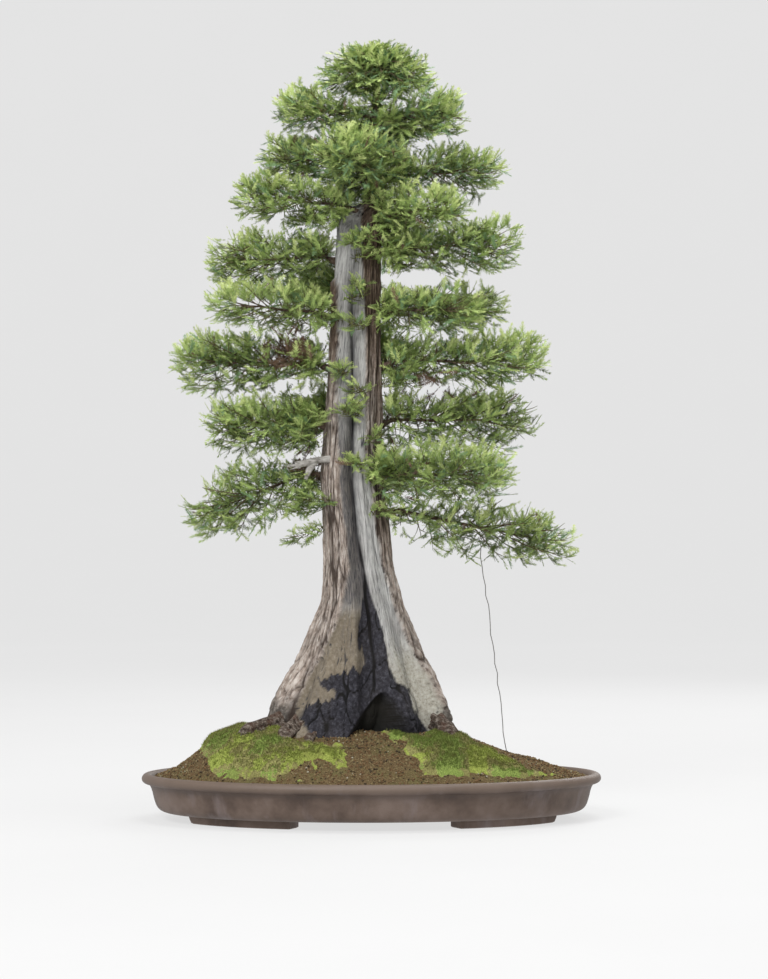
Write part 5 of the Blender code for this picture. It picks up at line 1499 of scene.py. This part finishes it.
def stem_of(pad, chance):
    """Points of the mass's own stem."""
    length = (pad.end - pad.start).length * STEM_SHARE
    points = []
    for k in range(STEM_POINTS):
        t = k / (STEM_POINTS - 1)
        sway = 0.0 if k < 2 else STEM_SWAY
        points.append(pad.point(length * t, chance.uniform(-sway, sway),
                                chance.uniform(-0.5, 0.5) * sway))
    return points


def make_limbs(pads, stems, tree):
    """Boughs with their stems, in one piece."""
    parts = []
    with_bough = pads[FIRST_WITH_BOUGH:-1]
    for number, (pad, stem) in enumerate(zip(pads, stems)):
        if pad in with_bough:
            growth = with_bough.index(pad) / (len(with_bough) - 1)
            radius = BOUGH_ROOT_RADIUS * (BOUGH_LEAST_SIZE + (1.0 - BOUGH_LEAST_SIZE) * growth)
            line = line_through(bough_line(pad, tree) + stem, BOUGH_STEPS)
            size = radius * blend_rows(BOUGH_TAPER, np.linspace(0, 1, BOUGH_STEPS))
        else:
            line = line_through(stem, STEM_STEPS)
            size = np.linspace(*STEM_RADII, STEM_STEPS)
        parts.append(bark_tube(line, size, LIMB_SIDES, 100 + 9 * number))
    limbs = mesh_piece("boughs_and_stems", *joined(parts), [bark_skin()])
    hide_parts(*[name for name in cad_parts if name.startswith("bough_")])


def make_roots():
    """Old roots that show above the soil on either side of the trunk."""
    parts = []
    for number, (line, radii) in enumerate(SURFACE_ROOTS):
        line = line_through(map(Vector, line), ROOT_STEPS)
        parts.append(bark_tube(line, spread_over(radii, ROOT_STEPS), ROOT_SIDES, 70 + number,
                               ROOT_ROUGH))
    roots = mesh_piece("surface_roots", *joined(parts), [root_skin()])


def make_dead_bough(tree):
    """Bare grey stub that ends in splinters."""
    outward = Vector(DEAD_BOUGH_WAY).normalized()
    root = seat_on_trunk(tree, Vector(trunk_axis(DEAD_BOUGH_Z)), outward)
    points = [root - outward * DEAD_BOUGH_SUNK, root]
    radii = [DEAD_BOUGH_RADIUS * DEAD_BOUGH_COLLAR, DEAD_BOUGH_RADIUS]
    for share, drop, size in DEAD_BOUGH_LINE:
        points.append(root + outward * DEAD_BOUGH_LENGTH * share - Vector((0.0, 0.0, drop)))
        radii.append(DEAD_BOUGH_RADIUS * size * (1.0 + DEAD_BOUGH_SWELL * share))
    line = line_through(points, DEAD_BOUGH_STEPS)
    parts = [bark_tube(line, spread_over(radii, DEAD_BOUGH_STEPS), LIMB_SIDES, 61, DEAD_BOUGH_ROUGH)]
    chance = random.Random("%d splinters" % SEED)
    across, up = cross_axes(outward)
    fork = Vector(line[PRONG_FROM])
    prong = line_through([fork] + [fork + outward * out - up * drop for out, drop in PRONG_LINE],
                         PRONG_STEPS)
    parts.append(bark_tube(prong, np.linspace(*PRONG_RADII, PRONG_STEPS), PRONG_SIDES, 62,
                           DEAD_BOUGH_ROUGH))
    for _ in range(SPLINTERS):
        foot = Vector(line[-1]) + across * chance.uniform(-1, 1) * SPLINTER_OFF
        foot += (up * chance.uniform(-1, 1) * SPLINTER_OFF
                 - outward * chance.uniform(*SPLINTER_BACK))
        way = (outward + across * chance.uniform(*SPLINTER_ASIDE)
               + up * chance.uniform(*SPLINTER_RISE))
        reach = chance.uniform(*SPLINTER_SIZE) * DEAD_BOUGH_LENGTH * SPLINTER_REACH
        middle = foot + way * reach * 0.5 + up * chance.uniform(-SPLINTER_BEND, SPLINTER_BEND)
        shard = line_through([foot, middle, foot + way * reach], SPLINTER_STEPS)
        radii = np.linspace(*SPLINTER_RADII, SPLINTER_STEPS)
        parts.append(tubes(shard[None], radii[None], SPLINTER_SIDES))
    stub = mesh_piece("dead_bough_splintered", *joined(parts), [dead_wood_skin()])
    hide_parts("dead_bough")


# Foliage

def on_line(points, share):
    """Point at a share of a line's length, by its points."""
    place_on = min(max(share, 0.0), 0.9999) * (len(points) - 1)
    k = int(place_on)
    return points[k].lerp(points[k + 1], place_on - k)


def to_edge(pad, root, way, furthest):
    """Way from a point to the edge of the mass's space, up to a furthest length."""
    steps = np.arange(1, int(furthest / SPACE_STEP) + 1)[:, None] * SPACE_STEP
    held = pad.holds(np.array(root) + np.array(way) * steps)
    return SPACE_STEP * (len(held) if held.all() else int(np.argmin(held)))


def sprays_of(pad, stem, chance, count):
    """Seeded rule of the foliage: a spiral of sprays round the stem, opening from its end.

    Each is a place on the stem, a direction and the way to the edge of the space. The rule also
    draws a roll for each, which only the solids' flat sprays need.
    """
    sprays = []
    for k in range(count):
        share = (1.0 - (k + 0.5) / count) ** SPRAY_INWARD
        opening = share ** SPRAY_CONE_POWER
        cone = math.radians(pad.cone[0] + (pad.cone[1] - pad.cone[0]) * opening)
        turn = SPRAY_TURN * k + chance.uniform(-SPRAY_TURN_PLAY, SPRAY_TURN_PLAY)
        way = (pad.along * math.cos(cone) + pad.across * math.sin(cone) * math.cos(turn)
               + pad.up * math.sin(cone) * math.sin(turn) * pad.flatness).normalized()
        root = on_line(stem, pad.lowest + (1.0 - pad.lowest) * share)
        chance.choice((-1.0, 1.0))
        chance.uniform(*SPRAY_ROLL)
        sprays.append((root, way, to_edge(pad, root, way, SPRAY_FURTHEST)))
    return sprays


def unit(vectors):
    return vectors / (np.linalg.norm(vectors, axis=-1, keepdims=True) + 1e-12)


def spread_angle(spread, share, chance):
    """Angle off a shoot at a share of its length."""
    foot, less, play = spread
    return math.radians(foot - less * share + chance.uniform(-play, play))


def sprig_template(chance):
    """Shoot along X with two ranks of needles, one unit long.

    Gives its points, its triangles and how many tones lighter or darker each triangle is.
    """
    bend, sway = chance.uniform(*SPRIG_BEND), chance.uniform(*SPRIG_SWAY)
    least, more, begin, stretch = NEEDLE_ARCH

    def shoot(t):
        return np.array([t, sway * math.sin(math.pi * t), bend * t * t])

    points, faces, lifts = [], [], []
    for k in range(2 * SPRIG_PAIRS + 1):
        last = k == 2 * SPRIG_PAIRS
        t = 1.0 if last else (k // 2 + NEEDLE_FIRST + NEEDLE_NEXT * (k % 2)) / SPRIG_PAIRS
        hand = 0.0 if last else (1.0 if k % 2 else -1.0)
        angle = spread_angle(NEEDLE_ANGLE, t, chance)
        length = NEEDLE_LENGTH * (least + more * math.sin(math.pi * (begin + stretch * t)))
        length *= chance.uniform(*NEEDLE_PLAY) * (NEEDLE_LAST if last else 1.0)
        way = unit(np.array([math.cos(angle * abs(hand)), hand * math.sin(angle),
                             chance.uniform(*NEEDLE_RISE)]))
        flat = unit(np.array([-way[1], way[0], 0.0]))
        roll = math.radians(chance.uniform(-NEEDLE_ROLL, NEEDLE_ROLL))
        flat = flat * math.cos(roll) + np.cross(way, flat) * math.sin(roll)
        base = shoot(t) + way * length * NEEDLE_FOOT
        tip = base + way * length * (1.0 - NEEDLE_FOOT)
        start = len(points)
        points += [base - flat * NEEDLE_WIDTH / 2, base + flat * NEEDLE_WIDTH / 2,
                   tip + (0.0, 0.0, chance.uniform(*NEEDLE_DROOP))]
        faces.append((start, start + 1, start + 2))
        lifts.append(int(t > SPRIG_LIGHT) - int(t < SPRIG_DARK))
    start = len(points)
    points += [shoot(0.0), shoot(0.5) - (0, SPRIG_CORE / 2, 0), shoot(1.0),
               shoot(0.5) + (0, SPRIG_CORE / 2, 0)]
    faces += [(start, start + 1, start + 2), (start, start + 2, start + 3)]
    lifts += [0, 0]
    return np.array(points), np.array(faces), np.array(lifts)


class Growth:
    """Twigs and sprigs of one mass, gathered as it grows."""

    def __init__(self):
        self.twigs, self.twig_radii = [], []
        self.side_twigs = []
        self.places, self.ways, self.faces, self.sizes, self.tones = [], [], [], [], []

    def sprig(self, place, way, face, size, tone, chance):
        stray = np.array([chance.gauss(0.0, SPRIG_STRAY) for _ in range(3)])
        stray[2] += SPRIG_LIFT * chance.random()
        self.places.append(place)
        self.ways.append(unit(way + stray))
        self.faces.append(face)
        self.sizes.append(size)
        self.tones.append(tone)


def grow_spray(growth, pad, root, way, edge, chance, tone):
    """One spray: a twig that lifts at its end, and fans in a spiral round it by the same rule."""
    if edge < FAN_SHORTEST:
        return
    lift = Vector((0.0, 0.0, chance.uniform(*SPRAY_LIFT)))
    length = max(edge * SPRAY_REACH - SPRIG_LENGTH, SPRAY_SHORTEST)
    twig = [root + way * length * t + lift * length * t * (t - 0.5)
            for t in np.linspace(0, 1, TWIG_STEPS)]
    growth.twigs.append(np.array([tuple(p) for p in twig]))
    growth.twig_radii.append(np.linspace(TWIG_RADIUS[0] + TWIG_RADIUS[1] * edge, TWIG_RADIUS[0],
                                         TWIG_STEPS))
    across, up = cross_axes(way)
    count = max(int(round(length / FAN_EVERY)), 3)
    for k in range(count + 1):
        share = 1.0 - k / count
        cone = math.radians(FAN_CONE[0] + (FAN_CONE[1] - FAN_CONE[0]) * share ** SPRAY_CONE_POWER)
        turn = SPRAY_TURN * k + chance.uniform(-SPRAY_TURN_PLAY, SPRAY_TURN_PLAY)
        out = (way * math.cos(cone) + across * math.sin(cone) * math.cos(turn)
               + up * math.sin(cone) * math.sin(turn)).normalized()
        foot = on_line(twig, FAN_LOWEST + (1.0 - FAN_LOWEST) * share)
        reach = min(to_edge(pad, foot, out, FAN_LENGTH + SPRIG_LENGTH) + FAN_PAST, FAN_LENGTH)
        if reach > FAN_SHORTEST:
            grow_fan(growth, foot, out, reach * chance.uniform(*FAN_SIZE), chance,
                     tone + chance.uniform(-FAN_TONE, FAN_TONE))


def grow_fan(growth, foot, way, reach, chance, tone):
    """Flat fan of sprigs: one at the end of its twig and pairs down its sides."""
    foot, way = np.array(foot), unit(np.array(way) + (0.0, 0.0, FAN_LIFT))
    across, up = (np.array(v) for v in cross_axes(Vector(way)))
    tilt = math.radians(chance.uniform(-FAN_TILT, FAN_TILT))
    side = across * math.cos(tilt) + up * math.sin(tilt)
    face = np.cross(side, way)
    face *= 1.0 if face[2] > 0 else -1.0
    run = max(reach - SPRIG_LENGTH * FAN_END, FAN_LEAST)
    end = foot + way * run + face * run * chance.uniform(*FAN_BEND)
    middle = (foot + end) / 2 - face * run * FAN_SAG
    growth.side_twigs.append((foot, middle, end))
    growth.sprig(end, unit(end - middle), face, chance.uniform(*END_SIZE), tone + END_LIGHTER,
                 chance)
    pairs = max(int(run / FAN_PAIR_EVERY), 1)
    for k in range(pairs):
        share = 1.0 - (k + PAIR_BACK) / pairs
        at = foot + (middle - foot) * min(2 * share, 1) + (end - middle) * max(2 * share - 1, 0)
        for hand in (-1.0, 1.0):
            turn = spread_angle(PAIR_ANGLE, share, chance)
            out = unit(way * math.cos(turn) + hand * side * math.sin(turn)
                       + face * chance.uniform(*PAIR_RISE))
            growth.sprig(at, out, face + side * chance.uniform(-1.0, 1.0),
                         chance.uniform(*PAIR_SIZE), tone + PAIR_LIGHTER * share - PAIR_DARKER,
                         chance)


def make_foliage(pads, stems, chances, shoots):
    """Every mass grown out in sprays of needles, a piece for each tier, and the twigs."""
    pattern_chance = random.Random("%d sprigs" % SEED)
    templates = [sprig_template(pattern_chance) for _ in range(SPRIG_KINDS)]
    skins = [needle_skin(*row) for row in GREENS]
    twig_parts, twig_kinds = [], []
    tiers = {tier: [] for tier in TIERS}
    growing = list(zip(pads, stems, chances))
    for shoot in shoots:
        chance = random.Random("%d %s" % (SEED, shoot.name))
        growing.append((shoot, stem_of(shoot, chance), chance))
    for pad, stem, chance in growing:
        growth = Growth()
        line = [pad.start - pad.along * pad.inward * STEM_INWARD] + stem if pad.inward else stem
        for root, way, edge in sprays_of(pad, line, chance, pad.sprays * FINER):
            grow_spray(growth, pad, root, way, edge, chance, chance.gauss(0.0, SPRAY_TONE))
        if pad in shoots:
            tier = tier_of(pad.centre.z, pads)
        else:
            tier = "crown" if pad.name == "foliage_apex" else pad.name.split("_")[1]
        tiers[tier].append((pad, *needle_arrays(pad, growth, templates)))
        curves = np.array(growth.twigs)
        twig_parts.append(tubes(curves, np.array(growth.twig_radii), TWIG_SIDES))
        sides = np.array(growth.side_twigs)
        ends = sides[:, -1]
        sides = sides[pad.holds(ends, SIDE_TWIG_ROOM) & (opened(ends, SKY_GAPS) < 0.5)]
        radii = np.broadcast_to(SIDE_TWIG_RADII, sides.shape[:2])
        twig_parts.append(tubes(sides, radii, TWIG_SIDES))
        twig_kinds += [0] * len(twig_parts[-2][1]) + [1] * len(twig_parts[-1][1])
    for tier, grown in tiers.items():
        points, faces = joined([(mass[1], mass[2]) for mass in grown])
        kinds = np.concatenate([mass[3] for mass in grown])
        piece = mesh_piece("needles_" + tier, points, faces, skins, smooth=False, face_skins=kinds)
        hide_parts(*[mass[0].name for mass in grown if mass[0].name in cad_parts])
    points, faces = joined(twig_parts)
    twigs = mesh_piece("foliage_twigs", points, faces, [twig_skin(*row) for row in TWIG_SKINS],
                       face_skins=np.array(twig_kinds))


def opened(points, openings):
    """How far each point lies in an opening as seen from the front, between 0 and 1."""
    near = CAMERA_PLACE[1] / (CAMERA_PLACE[1] - points[:, 1])
    x = CAMERA_PLACE[0] + (points[:, 0] - CAMERA_PLACE[0]) * near
    z = CAMERA_PLACE[2] + (points[:, 2] - CAMERA_PLACE[2]) * near
    share = np.zeros(len(points))
    for middle_x, middle_z, half_x, half_z in openings:
        off = np.hypot((x - middle_x) / half_x, (z - middle_z) / half_z)
        share = np.maximum(share, soft((OPENING_EDGE - off) / OPENING_SOFT))
    return share


def needle_arrays(pad, growth, templates):
    """Points, triangles and material numbers of a mass's sprigs, kept to its space."""
    places, ways = np.array(growth.places), unit(np.array(growth.ways))
    sizes, tones = np.array(growth.sizes) * SPRIG_LENGTH, np.array(growth.tones)
    tips = places + ways * (sizes * SPRIG_PAST)[:, None]
    clear = (off_trunk(tips) > TRUNK_ROOM[0]) & (off_trunk(places) > TRUNK_ROOM[1])
    thin = np.random.default_rng(len(places)).random(len(places))
    clump = noise(tips * CLUMP_SCALE, 51, 2)
    clear &= (thin > opened(tips, SKY_GAPS)) & (clump > CLUMP_FLOOR)
    brown = thin < BARE_SHARE * opened(tips, BARE_TWIGS)
    kept = pad.holds(tips, SPRIG_ROOM, SPRIG_PLAY) & clear
    places, ways, sizes, tones, tips, clump, brown = (
        a[kept] for a in (places, ways, sizes, tones, tips, clump, brown))
    normals = np.array(growth.faces)[kept]
    sides = unit(np.cross(normals, ways))
    normals = np.cross(ways, sides)
    frames = np.stack([ways, sides, normals], axis=1)
    # How high each sprig sits in its mass, for painted light on the mass's top.
    height = ((tips - tuple(pad.centre)) @ np.array(pad.up)) / pad.half[2]
    if pad.name == "foliage_apex":
        height = (tips[:, 2] - pad.centre.z) / pad.half[0]
    # Lighter toward the outside is partly fresh growth and partly painted shade inside. Lighter toward
    # the top is painted light. Darker where clumps thin out is painted shade.
    tone = TONE_OUTWARD_GROWTH_AND_SHADE * (pad.depth(tips) - TONE_MIDDLE) + TONE_PAINTED_TOP_LIGHT * height + tones
    chance = np.random.default_rng(len(tips))
    tone = tone + TONE_CHANCE * chance.normal(size=len(tips)) + TONE_CLUMP_PAINTED_SHADE * clump
    kinds = np.searchsorted(TONE_STEPS, tone)
    cool = COOL_SHARE + COOL_MORE * (pad.centre.z > COOL_CROWN_Z)
    kinds = np.where((kinds == 2) & (chance.random(len(tips)) < cool), COOL, kinds)
    kinds = np.where(brown | (chance.random(len(tips)) < RUST_SHARE), RUST, kinds)
    pick = chance.integers(0, len(templates), len(tips))
    points, faces, tints, start = [], [], [], 0
    for number, (shape, triangles, lifts) in enumerate(templates):
        some = pick == number
        spread = np.einsum("vc,ncd->nvd", shape, frames[some]) * sizes[some][:, None, None]
        spread += places[some][:, None]
        count = len(spread)
        points.append(spread.reshape(-1, 3))
        first = start + len(shape) * np.arange(count)
        faces.append((triangles[None] + first[:, None, None]).reshape(-1, 3))
        kind = kinds[some][:, None]
        tints.append(np.where(kind < COOL, np.clip(kind + lifts, 0, LIGHTEST), kind).ravel())
        start += count * len(shape)
    return np.concatenate(points), np.concatenate(faces), np.concatenate(tints)


def off_trunk(points):
    """Distance of points from the trunk's axis, as a share of its own half size there."""
    left, right, front, back = section(points[:, 2])
    return np.hypot((points[:, 0] - (left + right) / 2) / ((right - left) / 2),
                    (points[:, 1] - (front + back) / 2) / ((back - front) / 2))


trunk_tree = frame_tree("trunk")
make_camera()
make_backdrop()
make_lights()
make_pot()
make_soil()
make_moss()
make_trunk()
masses = make_pads(trunk_tree)
chances = [random.Random("%d %s" % (SEED, mass.name)) for mass in masses]
mass_stems = [stem_of(mass, chance) for mass, chance in zip(masses, chances)]
make_limbs(masses, mass_stems, trunk_tree)
make_dead_bough(trunk_tree)
make_roots()
make_foliage(masses, mass_stems, chances, make_shoots(trunk_tree))

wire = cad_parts["guy_wire"]
wire.data.materials.clear()
wire.data.materials.append(wire_skin())
